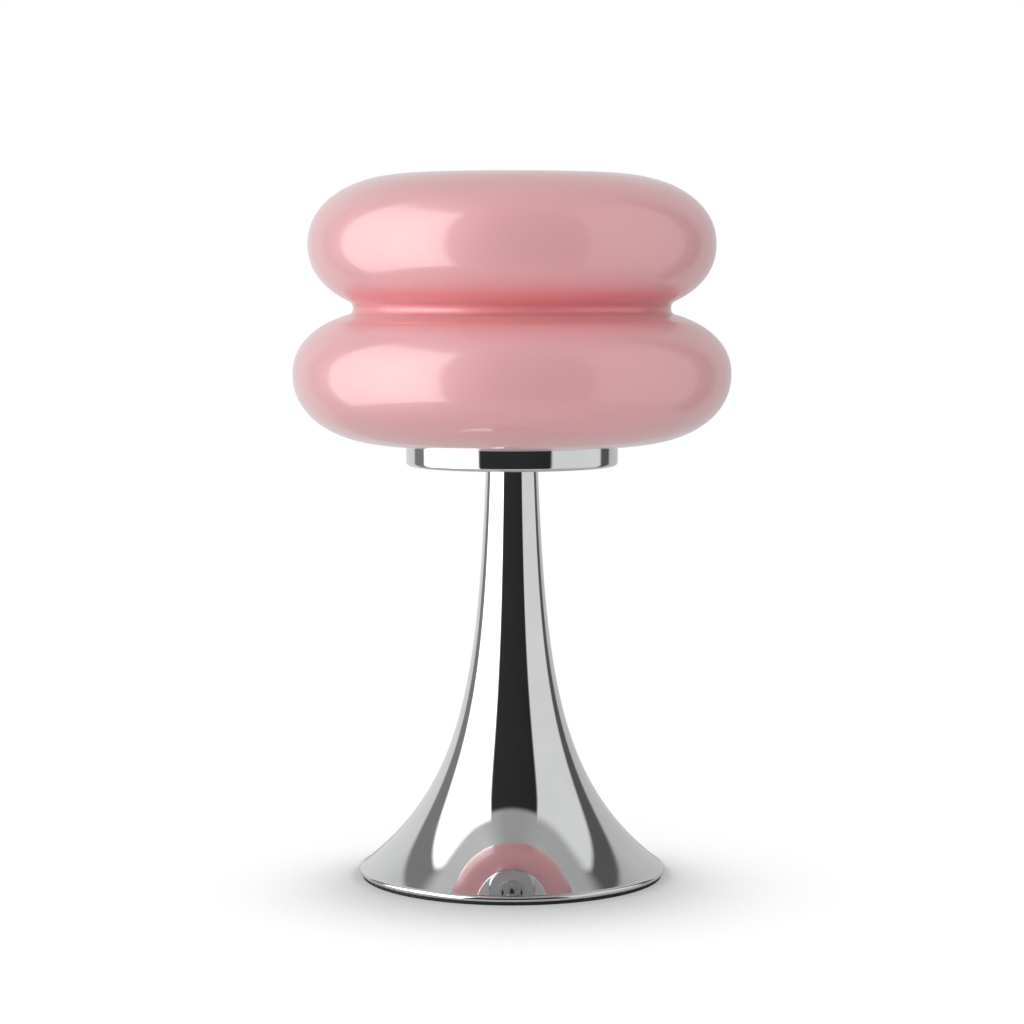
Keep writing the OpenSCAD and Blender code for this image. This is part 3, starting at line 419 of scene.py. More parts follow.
class Wiring:
    """Adds nodes to a node tree and links them."""

    def __init__(self, tree):
        self.tree = tree
        tree.nodes.clear()

    def add(self, kind, inputs=None, **settings):
        """A node with its settings, and its inputs set or linked."""
        node = self.tree.nodes.new("ShaderNode" + kind)
        for key, value in settings.items():
            setattr(node, key, value)
        for key, value in (inputs or {}).items():
            if isinstance(value, bpy.types.NodeSocket):
                self.tree.links.new(value, node.inputs[key])
            else:
                node.inputs[key].default_value = value
        return node

    def maths(self, operation, a, b=0.0, **settings):
        """Result of a sum on one or two values."""
        return self.add("Math", {0: a, 1: b}, operation=operation, **settings).outputs[0]

    def mixed(self, a, b, share):
        """A share of one value and the rest of another."""
        return self.maths("ADD", self.maths("MULTIPLY", a, share), self.maths("MULTIPLY", b, 1 - share))

    def share(self, value, low, high, to_low=0.0, to_high=1.0, smooth=False):
        """A value mapped from one range to another."""
        kind = "SMOOTHSTEP" if smooth else "LINEAR"
        inputs = {"Value": value, "From Min": low, "From Max": high, "To Min": to_low, "To Max": to_high}
        return self.add("MapRange", inputs, interpolation_type=kind).outputs["Result"]

    def ramp(self, value, stops):
        """A colour ramp through stops of place and colour or grey."""
        node = self.add("ValToRGB", {"Fac": value})
        points = node.color_ramp.elements
        while len(points) < len(stops):
            points.new(0.5)
        for point, (place, shade) in zip(points, stops):
            point.position = place
            point.color = (shade, shade, shade, 1) if isinstance(shade, (int, float)) else (*shade, 1)
        return node.outputs["Color"]

    def noise(self, scale, detail=3.0, roughness=0.5, stretch=(1, 1, 1), place=None):
        """Noise on the object's own coordinates, in a scale of features to the metre."""
        inputs = {"Vector": place or self.place(stretch), "Scale": scale, "Detail": detail,
                  "Roughness": roughness}
        return self.add("TexNoise", inputs).outputs[0]

    def place(self, stretch=(1, 1, 1)):
        """The object's own coordinates."""
        here = self.add("TexCoord").outputs["Object"]
        if tuple(stretch) == (1, 1, 1):
            return here
        return self.add("Mapping", {"Vector": here, "Scale": stretch}).outputs["Vector"]

    def bump(self, height, distance, strength=1.0, normal=None):
        """A bump of a distance in metres."""
        inputs = {"Height": height, "Distance": distance, "Strength": strength}
        if normal:
            inputs["Normal"] = normal
        return self.add("Bump", inputs).outputs["Normal"]

    def vector(self, operation, a, b, key=1):
        """Result of a vector sum, with its second value, where it has one, on a given input."""
        inputs = {0: a} if b is None else {0: a, key: b}
        return self.add("VectorMath", inputs, operation=operation).outputs[0]

    def leant(self, facing, upwards):
        """A normal leant upwards by a share of its length."""
        lean = self.add("CombineXYZ", {"Z": upwards}).outputs[0]
        return self.vector("NORMALIZE", self.vector("ADD", facing, lean), None)

    def surface(self, inputs):
        """A principled shader as the surface."""
        shader = self.add("BsdfPrincipled", inputs)
        self.add("OutputMaterial", {"Surface": shader.outputs[0]})
        return shader


def opal_glass(w):
    """Pink opal glass with painted shade that deepens its colour in the crease of the waist, that shade
    painted paler on the lit left side, and the faint waviness of blown glass.
    """
    g = bpy.context.scene.lamp_glass
    waist_shade_height, waist_shade_across = (0.006, 0.02), (0.078, 0.064)
    lit_side_paling, lit_side_share = (-0.06, 0.05), 0.6
    crease_height, crease_lean = (0.002, 0.005), 2.0
    here = w.add("SeparateXYZ", {"Vector": w.place()})
    x, y = here.outputs["X"], here.outputs["Y"]
    across = w.maths("SQRT", w.maths("ADD", w.maths("MULTIPLY", x, x), w.maths("MULTIPLY", y, y)))
    waist_z = (g.upper_z - g.upper_drop + g.lower_z + g.lower_rise) / 2
    height = w.maths("ABSOLUTE", w.maths("SUBTRACT", here.outputs["Z"], waist_z))
    # Painted shade: the colour deepens near the waist and inside its groove, where the crease between the
    # rings lies in shade.
    near = w.share(height, *waist_shade_height, 1, 0, smooth=True)
    deep = w.maths("MULTIPLY", near, w.share(across, *waist_shade_across, 0, 1, smooth=True))
    # Painted light: the waist's painted shade is made paler towards the left, the side that the light
    # comes from.
    deep = w.maths("MULTIPLY", deep, w.share(x, *lit_side_paling, lit_side_share, 1.0, smooth=True))
    cloud = w.share(w.noise(9, 2), 0.3, 0.7, -0.05, 0.05)
    tint = w.ramp(w.maths("ADD", deep, cloud), [(0.0, g.tint), (1.0, g.waist_shade_tint)])
    facing = w.add("NewGeometry").outputs["Normal"]
    tilt = w.add("SeparateXYZ", {"Vector": facing}).outputs["Z"]
    crease = w.maths("MULTIPLY", tilt, w.share(height, *crease_height, crease_lean, 0.0, smooth=True))
    waves = w.bump(w.noise(14, 1, 0.3), 0.00025, 0.6, w.leant(facing, crease))
    w.surface({
        "Base Color": tint,
        "Roughness": w.share(w.noise(420, 3), 0.3, 0.7, 0.035, 0.06),
        "IOR": 1.5,
        "Subsurface Weight": 0.3,
        "Subsurface Radius": (1.0, 0.3, 0.33),
        "Subsurface Scale": 0.004,
        "Sheen Weight": 0.3,
        "Sheen Roughness": 0.5,
        "Coat Weight": 1.0,
        "Coat Roughness": 0.55,
        "Coat IOR": 2.3,
        "Normal": waves,
    })


def chrome(w):
    """Polished chrome with faint haze and spin marks, its normal leant up in the front of the brim."""
    t = bpy.context.scene.lamp_trumpet
    brim_front = math.radians(19), math.radians(37)
    here = w.add("SeparateXYZ", {"Vector": w.place()})
    facing = w.maths("ARCTAN2", here.outputs["X"], w.maths("MULTIPLY", here.outputs["Y"], -1.0))
    front = w.share(w.maths("ABSOLUTE", facing), *brim_front, 1, 0, smooth=True)
    low = w.share(here.outputs["Z"], 0, t.dish_z, t.dish, 0, smooth=True)
    leant = w.leant(w.add("NewGeometry").outputs["Normal"], w.maths("MULTIPLY", front, low))
    haze = w.noise(60, 4)
    marks = w.noise(900, 2, 0.5, (0.05, 0.05, 1))
    tint = w.ramp(haze, [(0.3, (0.69, 0.697, 0.705)), (0.7, (0.735, 0.74, 0.745))])
    w.surface({
        "Base Color": tint,
        "Metallic": 1.0,
        "Roughness": w.share(haze, 0.3, 0.7, 0.02, 0.045),
        "Normal": w.bump(marks, 0.000002, 0.5, leant),
    })


def metal(w, dark, bright, rough, grain=(1, 1, 1), scale=700, depth=0.00001):
    """Machined or drawn metal, with grain that runs along the smallest stretch."""
    fine = w.noise(scale, 4, 0.6, grain)
    cloud = w.noise(45, 3)
    w.surface({
        "Base Color": w.ramp(w.mixed(fine, cloud, 0.5), [(0.3, dark), (0.7, bright)]),
        "Metallic": 1.0,
        "Roughness": w.share(fine, 0.25, 0.75, rough[0], rough[1]),
        "Normal": w.bump(fine, depth),
    })


def moulded(w, dark, bright, rough, scale=2200, depth=0.00002, **extra):
    """Moulded plastic, rubber or board, with a fine even texture."""
    grain = w.noise(scale, 2, 0.6)
    cloud = w.noise(70, 3)
    inputs = {
        "Base Color": w.ramp(w.mixed(grain, cloud, 0.4), [(0.3, dark), (0.7, bright)]),
        "Roughness": w.share(grain, 0.3, 0.7, rough[0], rough[1]),
        "Normal": w.bump(grain, depth),
    }
    inputs.update(extra)
    w.surface(inputs)


def cast_iron(w):
    """Painted cast iron with a pitted skin."""
    pits = w.noise(900, 5, 0.7)
    lumps = w.noise(160, 3)
    w.surface({
        "Base Color": w.ramp(pits, [(0.3, (0.012, 0.012, 0.013)), (0.75, (0.045, 0.045, 0.048))]),
        "Roughness": w.share(pits, 0.3, 0.7, 0.45, 0.7),
        "Normal": w.bump(w.maths("ADD", pits, lumps), 0.00012),
    })


def circuit_board(w):
    """Green solder mask over copper tracks."""
    bricks = w.add("TexBrick", {"Vector": w.place(), "Scale": 220.0, "Mortar Size": 0.03,
                                "Color1": (0.02, 0.11, 0.05, 1), "Color2": (0.016, 0.085, 0.04, 1),
                                "Mortar": (0.07, 0.2, 0.07, 1)})
    w.surface({
        "Base Color": bricks.outputs["Color"],
        "Roughness": w.share(w.noise(800, 2), 0.3, 0.7, 0.25, 0.4),
        "Coat Weight": 0.4,
        "Normal": w.bump(bricks.outputs["Fac"], 0.00003),
    })


def led(w):
    """Yellow phosphor with a pale rim."""
    cells = w.add("TexVoronoi", {"Vector": w.place(), "Scale": 2600.0}).outputs["Distance"]
    w.surface({
        "Base Color": w.ramp(cells, [(0.1, (0.82, 0.60, 0.10)), (0.8, (0.88, 0.72, 0.25))]),
        "Roughness": w.share(cells, 0, 1, 0.3, 0.5),
        "Normal": w.bump(cells, 0.00002),
    })


def cell_wrap(w):
    """Shrunk film with faint creases round the cell."""
    creases = w.noise(500, 3, 0.6, (1.6, 0.25, 0.25))
    w.surface({
        "Base Color": w.ramp(creases, [(0.3, (0.028, 0.10, 0.30)), (0.7, (0.04, 0.14, 0.38))]),
        "Roughness": w.share(creases, 0.3, 0.7, 0.22, 0.38),
        "Normal": w.bump(creases, 0.00008),
    })


def diffuser(w):
    """Frosted white opal plastic."""
    frost = w.noise(1600, 3, 0.6)
    w.surface({
        "Base Color": w.ramp(w.noise(40, 2), [(0.3, (0.80, 0.80, 0.78)), (0.7, (0.84, 0.84, 0.82))]),
        "Roughness": w.share(frost, 0.3, 0.7, 0.4, 0.55),
        "Subsurface Weight": 0.3,
        "Subsurface Radius": (1.0, 0.9, 0.8),
        "Subsurface Scale": 0.004,
        "Normal": w.bump(frost, 0.00001),
    })


FINISHES = {
    "opal_glass": opal_glass,
    "chrome": chrome,
    "steel": lambda w: metal(w, (0.40, 0.41, 0.42), (0.56, 0.57, 0.58), (0.2, 0.36), (1, 1, 0.1)),
    "brass": lambda w: metal(w, (0.52, 0.36, 0.13), (0.70, 0.52, 0.23), (0.18, 0.34), (1, 1, 0.15)),
    "aluminium": lambda w: metal(w, (0.55, 0.56, 0.57), (0.70, 0.71, 0.72), (0.3, 0.45), (0.3, 0.3, 1)),
    "cast_iron": cast_iron,
    "foot_rubber": lambda w: moulded(
        w, (0.010, 0.010, 0.011), (0.022, 0.022, 0.023), (0.6, 0.85), 1500, 0.00006
    ),
    "silicone": lambda w: moulded(w, (0.50, 0.49, 0.47), (0.58, 0.57, 0.55), (0.5, 0.65), 1200, 0.00003),
    "black_plastic": lambda w: moulded(w, (0.012, 0.012, 0.013), (0.024, 0.024, 0.025), (0.38, 0.58)),
    "white_board": lambda w: moulded(w, (0.72, 0.72, 0.70), (0.80, 0.80, 0.78), (0.3, 0.42), 900, 0.00001),
    "circuit_board": circuit_board,
    "led": led,
    "diffuser": diffuser,
    "cell_wrap": cell_wrap,
    "lead_sheath": lambda w: moulded(
        w, (0.30, 0.022, 0.02), (0.40, 0.035, 0.03), (0.3, 0.45), 1400, 0.00003
    ),
}


def finish(slot):
    """The material of a slot, made once."""
    name = slot + "_finish"
    if name not in bpy.data.materials:
        material = bpy.data.materials.new(name)
        material.use_nodes = True
        FINISHES[slot](Wiring(material.node_tree))
    return bpy.data.materials[name]


# Pieces

class LAMP_OT_glass(bpy.types.Operator):
    """Blow the two-ring shade and bond the steel ring to its neck"""

    bl_idname = "lamp.glass"
    bl_label = "Glass shade"

    def execute(self, context):
        g = context.scene.lamp_glass
        outside = glass_outline(g)
        inside = moved_inwards(outside, g.wall)
        bottom = g.lower_z - g.lower_drop
        inner_r = g.neck_r - g.wall
        bend, lip = 0.0004, 0.0008
        under_r = g.lower_r - g.lower_bulge
        neck = rounded([
            (g.neck_r, bottom, bend), (g.neck_r, g.neck_z, lip), (inner_r, g.neck_z, lip),
            (inner_r, bottom + g.wall, bend), (under_r, bottom + g.wall, 0), (under_r, bottom, 0),
        ])[:-2]
        pole = Vector((0, g.upper_z + g.upper_rise - g.top_dip - g.wall))
        bm = bmesh.new()
        lathe(bm, outside + neck + inside[::-1] + [pole], closed=False)
        make_piece("blown_shade", bm, "opal_glass", "shade", ["glass_shade"], sharp=60)

        out_r, low, high = g.neck_r + g.ring_wall, g.neck_z - g.ring_t, g.neck_z + g.ring_lap
        inner_edge, lap_edge = 0.0002, 0.00015
        bm = bmesh.new()
        lathe(bm, rounded([
            (inner_r, low, inner_edge), (out_r, low, RIM_EDGE), (out_r, high, lap_edge),
            (g.neck_r, high, 0), (g.neck_r, g.neck_z, 0), (inner_r, g.neck_z, 0),
        ], 4))
        make_piece("shade_ring", bm, "steel", "shade", ["shade_neck_ring"])
        return {"FINISHED"}


class LAMP_OT_head(bpy.types.Operator):
    """Spin the chrome collar and mould the diffuser dome"""

    bl_idname = "lamp.head"
    bl_label = "Collar and diffuser"

    def execute(self, context):
        h = context.scene.lamp_head
        floor = h.collar_z + h.collar_floor
        inner = h.collar_r - h.collar_wall
        bm = bmesh.new()
        lathe(bm, rounded([
            (h.rod_hole_r, h.collar_z, 0), (h.collar_r, h.collar_z, h.collar_round),
            (h.collar_r, h.collar_top, RIM_EDGE), (inner, h.collar_top, RIM_EDGE),
            (inner, floor, RIM_EDGE), (h.rod_hole_r, floor, 0),
        ], 10))
        make_piece("spun_collar", bm, "chrome", "lamp_body", ["collar"])

        base = h.dome_z + h.dome_skirt
        rise = h.dome_h - h.dome_skirt
        inner = h.dome_r - h.dome_wall
        quarter = spread(0, math.pi / 2, 40)
        outside, inside = (
            [Vector((r * math.cos(a), base + up * math.sin(a))) for a in quarter[:-1]]
            for r, up in ((h.dome_r, rise), (inner, rise - h.dome_wall))
        )
        foot = rounded([
            (inner, base, 0), (inner, h.dome_z, RIM_EDGE), (h.dome_r, h.dome_z, RIM_EDGE),
            (h.dome_r, base, 0),
        ])[1:-1]
        poles = [Vector((0, base + rise)), Vector((0, base + rise - h.dome_wall))]
        bm = bmesh.new()
        lathe(bm, poles[1:] + inside[::-1] + foot + outside + poles[:1], closed=False)
        make_piece("frosted_dome", bm, "diffuser", "lamp_body", ["diffuser_dome"])
        return {"FINISHED"}


class LAMP_OT_trumpet(bpy.types.Operator):
    """Spin the trumpet base and cut the hole for its charging port"""

    bl_idname = "lamp.trumpet"
    bl_label = "Trumpet base"

    def execute(self, context):
        t = context.scene.lamp_trumpet
        bm = bmesh.new()
        lathe(bm, trumpet_outline(t), steps=224)
        trumpet = make_piece("spun_trumpet", bm, "chrome", "lamp_body", ["trumpet_base"], sharp=40)

        fit = 0.0001
        least_faces = 1000
        outline = slot_outline(t.port_w + 2 * t.bezel_wall + fit, t.port_h + 2 * t.bezel_wall + fit)
        bm = bmesh.new()
        verts = [bm.verts.new((p.x, t.port_y - t.bezel_wall, t.port_z + p.y)) for p in outline]
        made = bmesh.ops.extrude_face_region(bm, geom=[bm.faces.new(verts)])
        moved = [v for v in made["geom"] if isinstance(v, bmesh.types.BMVert)]
        bmesh.ops.translate(bm, verts=moved, vec=(0, t.foot_r, 0))
        bmesh.ops.recalc_face_normals(bm, faces=bm.faces)
        mesh = bpy.data.meshes.new("port_cutter")
        bm.to_mesh(mesh)
        bm.free()
        cutter = bpy.data.objects.new("port_cutter", mesh)
        context.scene.collection.objects.link(cutter)
        cut = trumpet.modifiers.new("port", "BOOLEAN")
        cut.operation = "DIFFERENCE"
        cut.solver = "EXACT"
        cut.object = cutter
        mesh_cut = applied(trumpet)
        bpy.data.objects.remove(cutter)
        bpy.data.meshes.remove(mesh)
        if len(mesh_cut.polygons) < least_faces:
            raise RuntimeError("the trumpet was lost when its port was cut")
        mesh_cut.set_sharp_from_angle(angle=math.radians(40))
        return {"FINISHED"}


class LAMP_OT_port(bpy.types.Operator):
    """Mould the port's bezel and form the charging socket"""

    bl_idname = "lamp.port"
    bl_label = "Charging port"

    def execute(self, context):
        t = context.scene.lamp_trumpet
        edge = 0.00025
        back = t.port_y - t.bezel_wall

        def on_flare(p, sink=0.0):
            """A point of the port's outline, carried back to the face of the flare."""
            z = t.port_z + p.y
            return Vector((p.x, math.sqrt(flare_r(t, z) ** 2 - p.x ** 2) - sink, z))

        def on_plane(p, y):
            """A point of the port's outline on an upright plane."""
            return Vector((p.x, y, t.port_z + p.y))

        def slot(grow):
            """The port's outline, grown all round from the recess."""
            return slot_outline(t.port_w + 2 * grow, t.port_h + 2 * grow)

        socket_gap = 0.0002
        hole = slot_outline(t.socket_w + socket_gap, t.socket_h + socket_gap)
        bm = bmesh.new()
        rings = [
            [on_plane(p, back) for p in slot(t.bezel_wall)],
            [on_flare(p, edge) for p in slot(t.bezel_wall)],
            [on_flare(p, edge * 0.3) for p in slot(t.bezel_wall - edge * 0.3)],
            [on_flare(p) for p in slot(t.bezel_wall - edge)],
            [on_flare(p) for p in slot(edge * 2)],
            [on_flare(p, edge * 0.6) for p in slot(edge * 0.6)],
            [on_flare(p, edge * 2) for p in slot(0)],
            [on_plane(p, t.port_y + edge) for p in slot(0)],
            [on_plane(p, t.port_y) for p in slot(-edge)],
            [on_plane(p, t.port_y) for p in hole],
            [on_plane(p, back) for p in hole],
        ]
        loft(bm, [edge_loop(bm, ring) for ring in rings], closed=True)
        bmesh.ops.recalc_face_normals(bm, faces=bm.faces)
        make_piece("moulded_bezel", bm, "black_plastic", "lamp_body", ["port_bezel"])

        shell, end = 0.0003, 0.0016
        outer = slot_outline(t.socket_w, t.socket_h)
        inner = slot_outline(t.socket_w - 2 * shell, t.socket_h - 2 * shell)
        middle = slot_outline(t.socket_w - shell, t.socket_h - shell)
        deep = t.port_y - t.socket_depth
        bm = bmesh.new()
        rings = [edge_loop(bm, [on_plane(p, y) for p in outline]) for outline, y in (
            (outer, deep), (outer, t.port_y - shell / 3), (middle, t.port_y),
            (inner, t.port_y - shell / 3), (inner, deep + end),
        )]
        loft(bm, rings)
        bmesh.ops.holes_fill(bm, edges=rings[0] + rings[-1], sides=0)
        bmesh.ops.recalc_face_normals(bm, faces=bm.faces)
        make_piece("socket_shell", bm, "steel", "lamp_body", ["charge_socket"])

        bm = bmesh.new()
        width, reach, thick, sunk = 0.0066, 0.0052, 0.0007, 0.0002
        block(bm, (0, deep + end + reach / 2 - sunk, t.port_z), (width, reach, thick), 0.00012)
        make_piece("socket_tongue", bm, "black_plastic", "lamp_body")
        bm = bmesh.new()
        contacts, pitch, contact = 10, 0.0006, (0.0003, reach * 0.75, 0.00004)
        for i in range(contacts):
            for side in (-1, 1):
                place = ((i - (contacts - 1) / 2) * pitch, deep + end + reach * 0.45,
                         t.port_z + side * thick / 2)
                block(bm, place, contact)
        make_piece("socket_contacts", bm, "brass", "lamp_body")
        return {"FINISHED"}


class LAMP_OT_foot(bpy.types.Operator):
    """Mould the grooved foot pad and turn the power button"""

    bl_idname = "lamp.foot"
    bl_label = "Foot pad and button"

    def execute(self, context):
        f = context.scene.lamp_foot
        depth, width, edge = 0.0004, 0.0009, 0.0002
        corners = [(f.pad_inner_r, f.pad_h, FINE_EDGE), (f.pad_inner_r, 0, RIM_EDGE)]
        for i in range(f.grooves):
            middle = f.pad_inner_r + (f.pad_r - f.pad_inner_r) * (i + 1) / (f.grooves + 1)
            corners += [
                (middle - width, 0, edge), (middle - width / 2, depth, edge),
                (middle + width / 2, depth, edge), (middle + width, 0, edge),
            ]
        corners += [(f.pad_r, 0, RIM_EDGE), (f.pad_r, f.pad_h, FINE_EDGE)]
        bm = bmesh.new()
        lathe(bm, rounded(corners, 3))
        make_piece("moulded_pad", bm, "foot_rubber", "lamp_body", ["foot_pad"])

        dish, flat, face_edge, post_edge = 0.00035, 0.0006, 0.0004, 0.0002
        face_r, rim_r = f.button_r - flat, f.button_r + f.rim_w
        rim_top = f.rim_z + f.rim_t
        face = [Vector((face_r * x, f.button_z + dish * (1 - x * x))) for x in spread(0, 1, 12)[:-1]]
        rest = rounded([
            (face_r, f.button_z, 0), (f.button_r, f.button_z, face_edge), (f.button_r, f.rim_z, 0),
            (rim_r, f.rim_z, FINE_EDGE), (rim_r, rim_top, FINE_EDGE), (f.post_r, rim_top, 0),
            (f.post_r, rim_top + f.post_h, post_edge), (0, rim_top + f.post_h, 0),
        ], 4)
        bm = bmesh.new()
        lathe(bm, face + rest, closed=False, steps=96)
        bmesh.ops.translate(bm, verts=bm.verts, vec=(0, -f.button_y, 0))
        make_piece("turned_button", bm, "chrome", "button", ["power_button"])
        return {"FINISHED"}


class LAMP_OT_spring(bpy.types.Operator):
    """Wind the spring that shortens as the button is pressed"""

    bl_idname = "lamp.spring"
    bl_label = "Button spring"

    def execute(self, context):
        f = context.scene.lamp_foot
        wire_r = f.spring_wire / 2
        low, high = (Vector(corner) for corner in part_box("button_spring"))
        coil_r = (high.x - low.x) / 2 - wire_r
        turn_steps, wire_sides = 24, 10
        steps = turn_steps * f.spring_turns
        bm = bmesh.new()
        rings = []
        for i in range(steps + 1):
            turn = FULL_TURN * f.spring_turns * i / steps
            z = low.z + wire_r + (high.z - low.z - f.spring_wire) * i / steps
            ring = []
            for a in spread(0, FULL_TURN, wire_sides)[:-1]:
                r = coil_r + wire_r * math.cos(a)
                point = (r * math.cos(turn), r * math.sin(turn) - f.button_y, z + wire_r * math.sin(a))
                ring.append(bm.verts.new(point))
            rings.append(ring)
        for a, b in zip(rings, rings[1:]):
            for k in range(len(a)):
                bm.faces.new((a[k - 1], a[k], b[k], b[k - 1]))
        bm.faces.new(rings[0])
        bm.faces.new(rings[-1])
        bmesh.ops.recalc_face_normals(bm, faces=bm.faces)
        spring = make_piece("wound_spring", bm, "steel", None, ["button_spring"], sharp=60)
        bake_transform(spring)
        return {"FINISHED"}


class LAMP_OT_fittings(bpy.types.Operator):
    """Give every carried-over fitting the finish of its slot"""

    bl_idname = "lamp.fittings"
    bl_label = "Fittings"

    def execute(self, context):
        slots = {part["node"]: part["material_slot"] for part in frame["record"]["subparts"]}
        for name, fitting in frame["nodes"].items():
            if name not in slots:
                raise RuntimeError(name + " has no slot in the record")
            for material_slot in fitting.material_slots:
                material_slot.material = finish(slots[name])
        return {"FINISHED"}


def round_ramp(w, place, stops, brightest=1.0):
    """Ramp of levels by azimuth in degrees, where nought faces the camera and left is negative."""
    return w.ramp(place, [(degrees / 360 + 0.5, value / brightest) for degrees, value in stops])


def studio(world):
    """Soft boxes to the left and right, a dark card in front and a white backdrop."""
    w = Wiring(world.node_tree)
    here = w.add("TexCoord").outputs["Generated"]
    way = w.add("SeparateXYZ", {"Vector": here})
    x, y, z = (way.outputs[axis] for axis in "XYZ")
    turn = w.maths("ARCTAN2", x, w.maths("MULTIPLY", y, -1.0))
    place = w.maths("ADD", w.maths("DIVIDE", turn, FULL_TURN), 0.5)
    brightest = 4.3
    band = round_ramp(w, place, (
        (-180, 0.72), (-165, 0.8), (-133, 0.8), (-130, 0.24), (-112, 0.24), (-107, 2.8), (-80, 3.1),
        (-60, 4.0), (-40, brightest), (-35, 0.035), (42, 0.026), (45, 0.84), (110, 0.84), (114, 0.11),
        (129, 0.11), (133, 0.6), (165, 0.62), (180, 0.72),
    ), brightest)
    band = w.vector("SCALE", band, brightest, 3)
    rise = w.maths("DEGREES", w.maths("ARCSINE", z))
    centre = round_ramp(w, place, ((-36, 0.0), (-34, 1.0), (42, 1.0), (44, 0.0)))
    behind = round_ramp(w, place, ((-134, 1.0), (-129, 0.0), (129, 0.0), (134, 1.0)))
    box_top, box_end, card_end = 51, 60, 55
    back_top, back_end = 22, 50
    over_box = w.share(rise, box_top, box_end, smooth=True)
    over_card = w.share(rise, box_top, card_end, smooth=True)
    over_back = w.share(rise, back_top, back_end, smooth=True)
    over = w.add("Mix", {0: centre, 2: over_box, 3: over_card}).outputs[0]
    over = w.add("Mix", {0: behind, 2: over, 3: over_back}).outputs[0]
    ceiling = round_ramp(w, place, (
        (-180, 0.57), (-130, 0.62), (-60, 0.66), (-15, 0.4), (20, 0.38), (65, 0.47), (130, 0.45),
        (180, 0.57),
    ))
    floor_start, floor_end, card_drop, floor_grey = -50, -54, 15.0, (0.44, 0.44, 0.44, 1)
    low = w.maths("SUBTRACT", rise, w.maths("MULTIPLY", centre, card_drop))
    under = w.share(low, floor_start, floor_end)
    lit = w.add("Mix", {0: over, 6: band, 7: ceiling}, data_type="RGBA").outputs[2]
    lit = w.add("Mix", {0: under, 6: lit, 7: floor_grey}, data_type="RGBA").outputs[2]
    glossy = w.add("Background", {"Color": lit, "Strength": 1.0}).outputs[0]

    def glow(azimuth, elevation, strength, power):
        """Soft light round one direction."""
        a, e = math.radians(azimuth), math.radians(elevation)
        towards = (math.sin(a) * math.cos(e), -math.cos(a) * math.cos(e), math.sin(e))
        facing = w.add("VectorMath", {0: here, 1: towards}, operation="DOT_PRODUCT").outputs["Value"]
        facing = w.maths("MAXIMUM", facing, 0.0)
        return w.maths("MULTIPLY", w.maths("POWER", facing, power), strength)

    soft = w.maths("ADD", w.maths("ADD", glow(-105, 0, 0.4, 2.0), glow(-5, 5, 0.8, 2.5)),
                   w.maths("ADD", glow(0, 90, 0.3, 2.0), 0.36))
    diffuse = w.add("Background", {"Color": (1, 1, 1, 1), "Strength": soft}).outputs[0]
    white = w.add("Background", {"Color": (1, 1, 1, 1), "Strength": 1.0}).outputs[0]
    path = w.add("LightPath")
    light = w.add("MixShader", {0: path.outputs["Is Glossy Ray"], 1: diffuse, 2: glossy}).outputs[0]
    seen = w.add("MixShader", {0: path.outputs["Is Camera Ray"], 1: light, 2: white}).outputs[0]
    w.add("OutputWorld", {"Surface": seen})


def table_top(w, s):
    """A pale table top that shows white to the camera, with the lamp's shadow partly real and partly
    painted from occlusion round the foot.
    """
    seen_diffuse, seen_lift, reach = 0.62, 0.63, 0.1
    shade_lean = {"Y": 0.35, "Z": 0.94}
    path = w.add("LightPath")
    darker = tuple(0.99 * c for c in s.floor_tint)
    grain = w.ramp(w.noise(30, 2), [(0.3, darker), (0.7, tuple(s.floor_tint))])
    plain = w.add("BsdfDiffuse", {"Color": grain}).outputs[0]
    lean = w.add("CombineXYZ", shade_lean).outputs[0]
    # Painted shadow: occlusion round the foot, leant so that it falls darker in front, darkens the table
    # top's colour and its glow as the camera sees them.
    near = w.add("AmbientOcclusion", {"Distance": reach, "Normal": lean}, samples=24).outputs["AO"]
    shade = w.ramp(near, [
        (0.78, 0.54), (0.82, 0.6), (0.86, 0.66), (0.89, 0.74), (0.915, 0.81), (0.93, 0.87), (0.95, 0.935),
        (0.965, 0.965), (0.98, 0.985), (1.0, 1.0),
    ])
    lit = w.add("BsdfDiffuse", {"Color": w.vector("SCALE", shade, seen_diffuse, 3)}).outputs[0]
    lift = w.add("Emission", {"Color": shade, "Strength": seen_lift}).outputs[0]
    seen = w.add("AddShader", {0: lit, 1: lift}).outputs[0]
    mixed = w.add("MixShader", {0: path.outputs["Is Camera Ray"], 1: plain, 2: seen}).outputs[0]
    w.add("OutputMaterial", {"Surface": mixed})


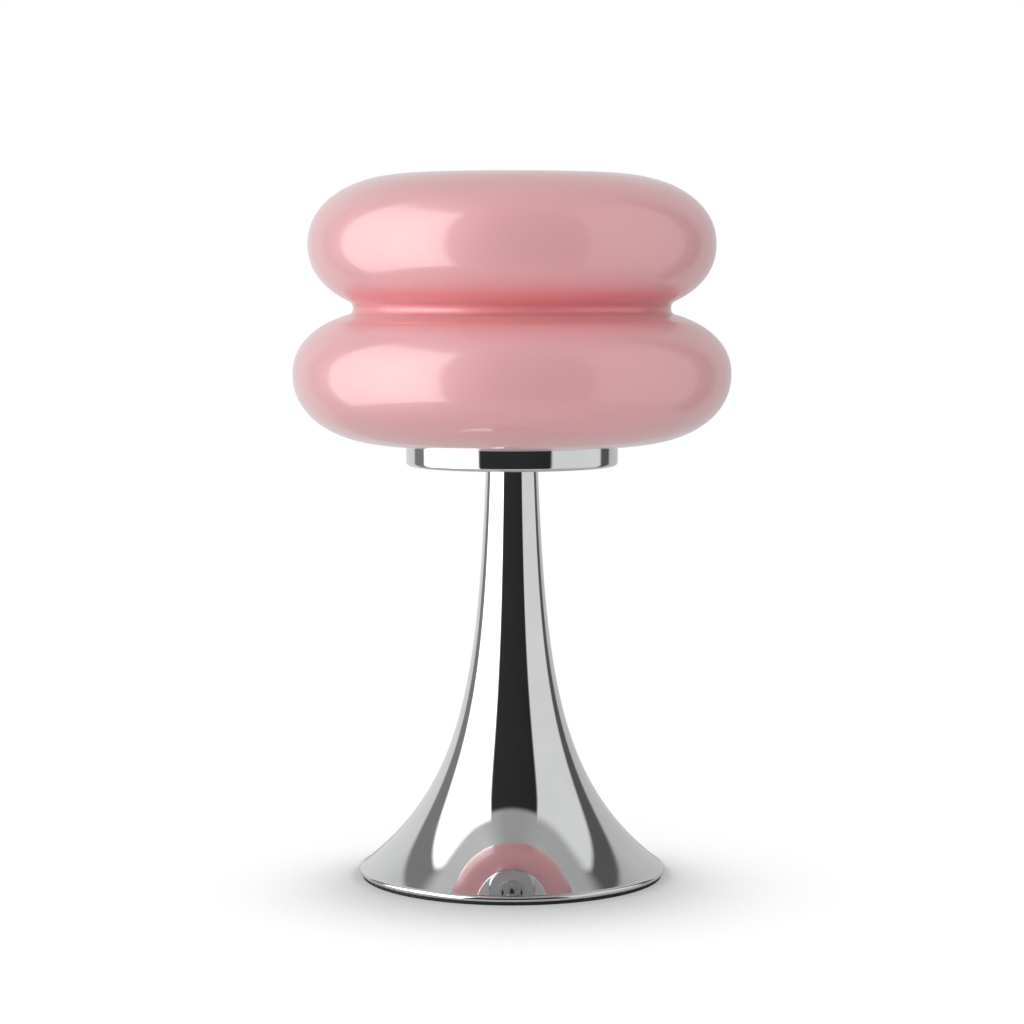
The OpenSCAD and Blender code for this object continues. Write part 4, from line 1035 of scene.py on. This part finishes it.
class LAMP_OT_stage(bpy.types.Operator):
    """Set out the table top, the soft studio light and the camera"""

    bl_idname = "lamp.stage"
    bl_label = "Table top, light and camera"

    def execute(self, context):
        s = context.scene.lamp_stage
        bm = bmesh.new()
        for radius in (s.floor_r, s.opening_r):
            bmesh.ops.create_circle(bm, radius=radius, segments=128)
        bmesh.ops.bridge_loops(bm, edges=list(bm.edges))
        mesh = bpy.data.meshes.new("table_top")
        bm.to_mesh(mesh)
        bm.free()
        top = bpy.data.objects.new("table_top", mesh)
        context.scene.collection.objects.link(top)
        material = bpy.data.materials.new("table_top_finish")
        material.use_nodes = True
        table_top(Wiring(material.node_tree), s)
        mesh.materials.append(material)

        world = bpy.data.worlds.new("studio")
        world.use_nodes = True
        studio(world)
        context.scene.world = world
        context.scene.view_settings.view_transform = "Standard"

        lens = bpy.data.cameras.new("camera")
        lens.sensor_width = 36
        lens.lens = s.lens
        lens.dof.use_dof = False
        camera = bpy.data.objects.new("camera", lens)
        camera.location = (0, -s.distance, s.height)
        camera.rotation_euler = (math.pi / 2 - s.pitch, 0, 0)
        context.scene.collection.objects.link(camera)
        context.scene.camera = camera
        return {"FINISHED"}


class LAMP_PT_panel(bpy.types.Panel):
    """Steps and sizes of the table lamp"""

    bl_label = "Double ring lamp"
    bl_idname = "LAMP_PT_panel"
    bl_space_type = "VIEW_3D"
    bl_region_type = "UI"
    bl_category = "Lamp"

    def draw(self, context):
        for step in STEPS:
            self.layout.operator(step.bl_idname)
        for name, group in SETTINGS.items():
            box = self.layout.box()
            box.label(text=group.__doc__)
            for key in group.__annotations__:
                box.prop(getattr(context.scene, name), key)


STEPS = (
    LAMP_OT_glass, LAMP_OT_head, LAMP_OT_trumpet, LAMP_OT_port, LAMP_OT_foot, LAMP_OT_spring,
    LAMP_OT_fittings, LAMP_OT_stage,
)


def register():
    """Adds the settings, the steps and the panel."""
    for name, group in SETTINGS.items():
        bpy.utils.register_class(group)
        setattr(bpy.types.Scene, name, PointerProperty(type=group))
    for step in (*STEPS, LAMP_PT_panel):
        bpy.utils.register_class(step)


def unregister():
    """Takes the panel, the steps and the settings away."""
    for step in (LAMP_PT_panel, *reversed(STEPS)):
        bpy.utils.unregister_class(step)
    for name, group in reversed(SETTINGS.items()):
        delattr(bpy.types.Scene, name)
        bpy.utils.unregister_class(group)


def main():
    """Builds the lamp."""
    register()
    bpy.ops.lamp.fittings()
    bpy.ops.lamp.glass()
    bpy.ops.lamp.head()
    bpy.ops.lamp.trumpet()
    bpy.ops.lamp.port()
    bpy.ops.lamp.foot()
    bpy.ops.lamp.spring()
    bpy.ops.lamp.stage()


if __name__ == "__main__":
    main()
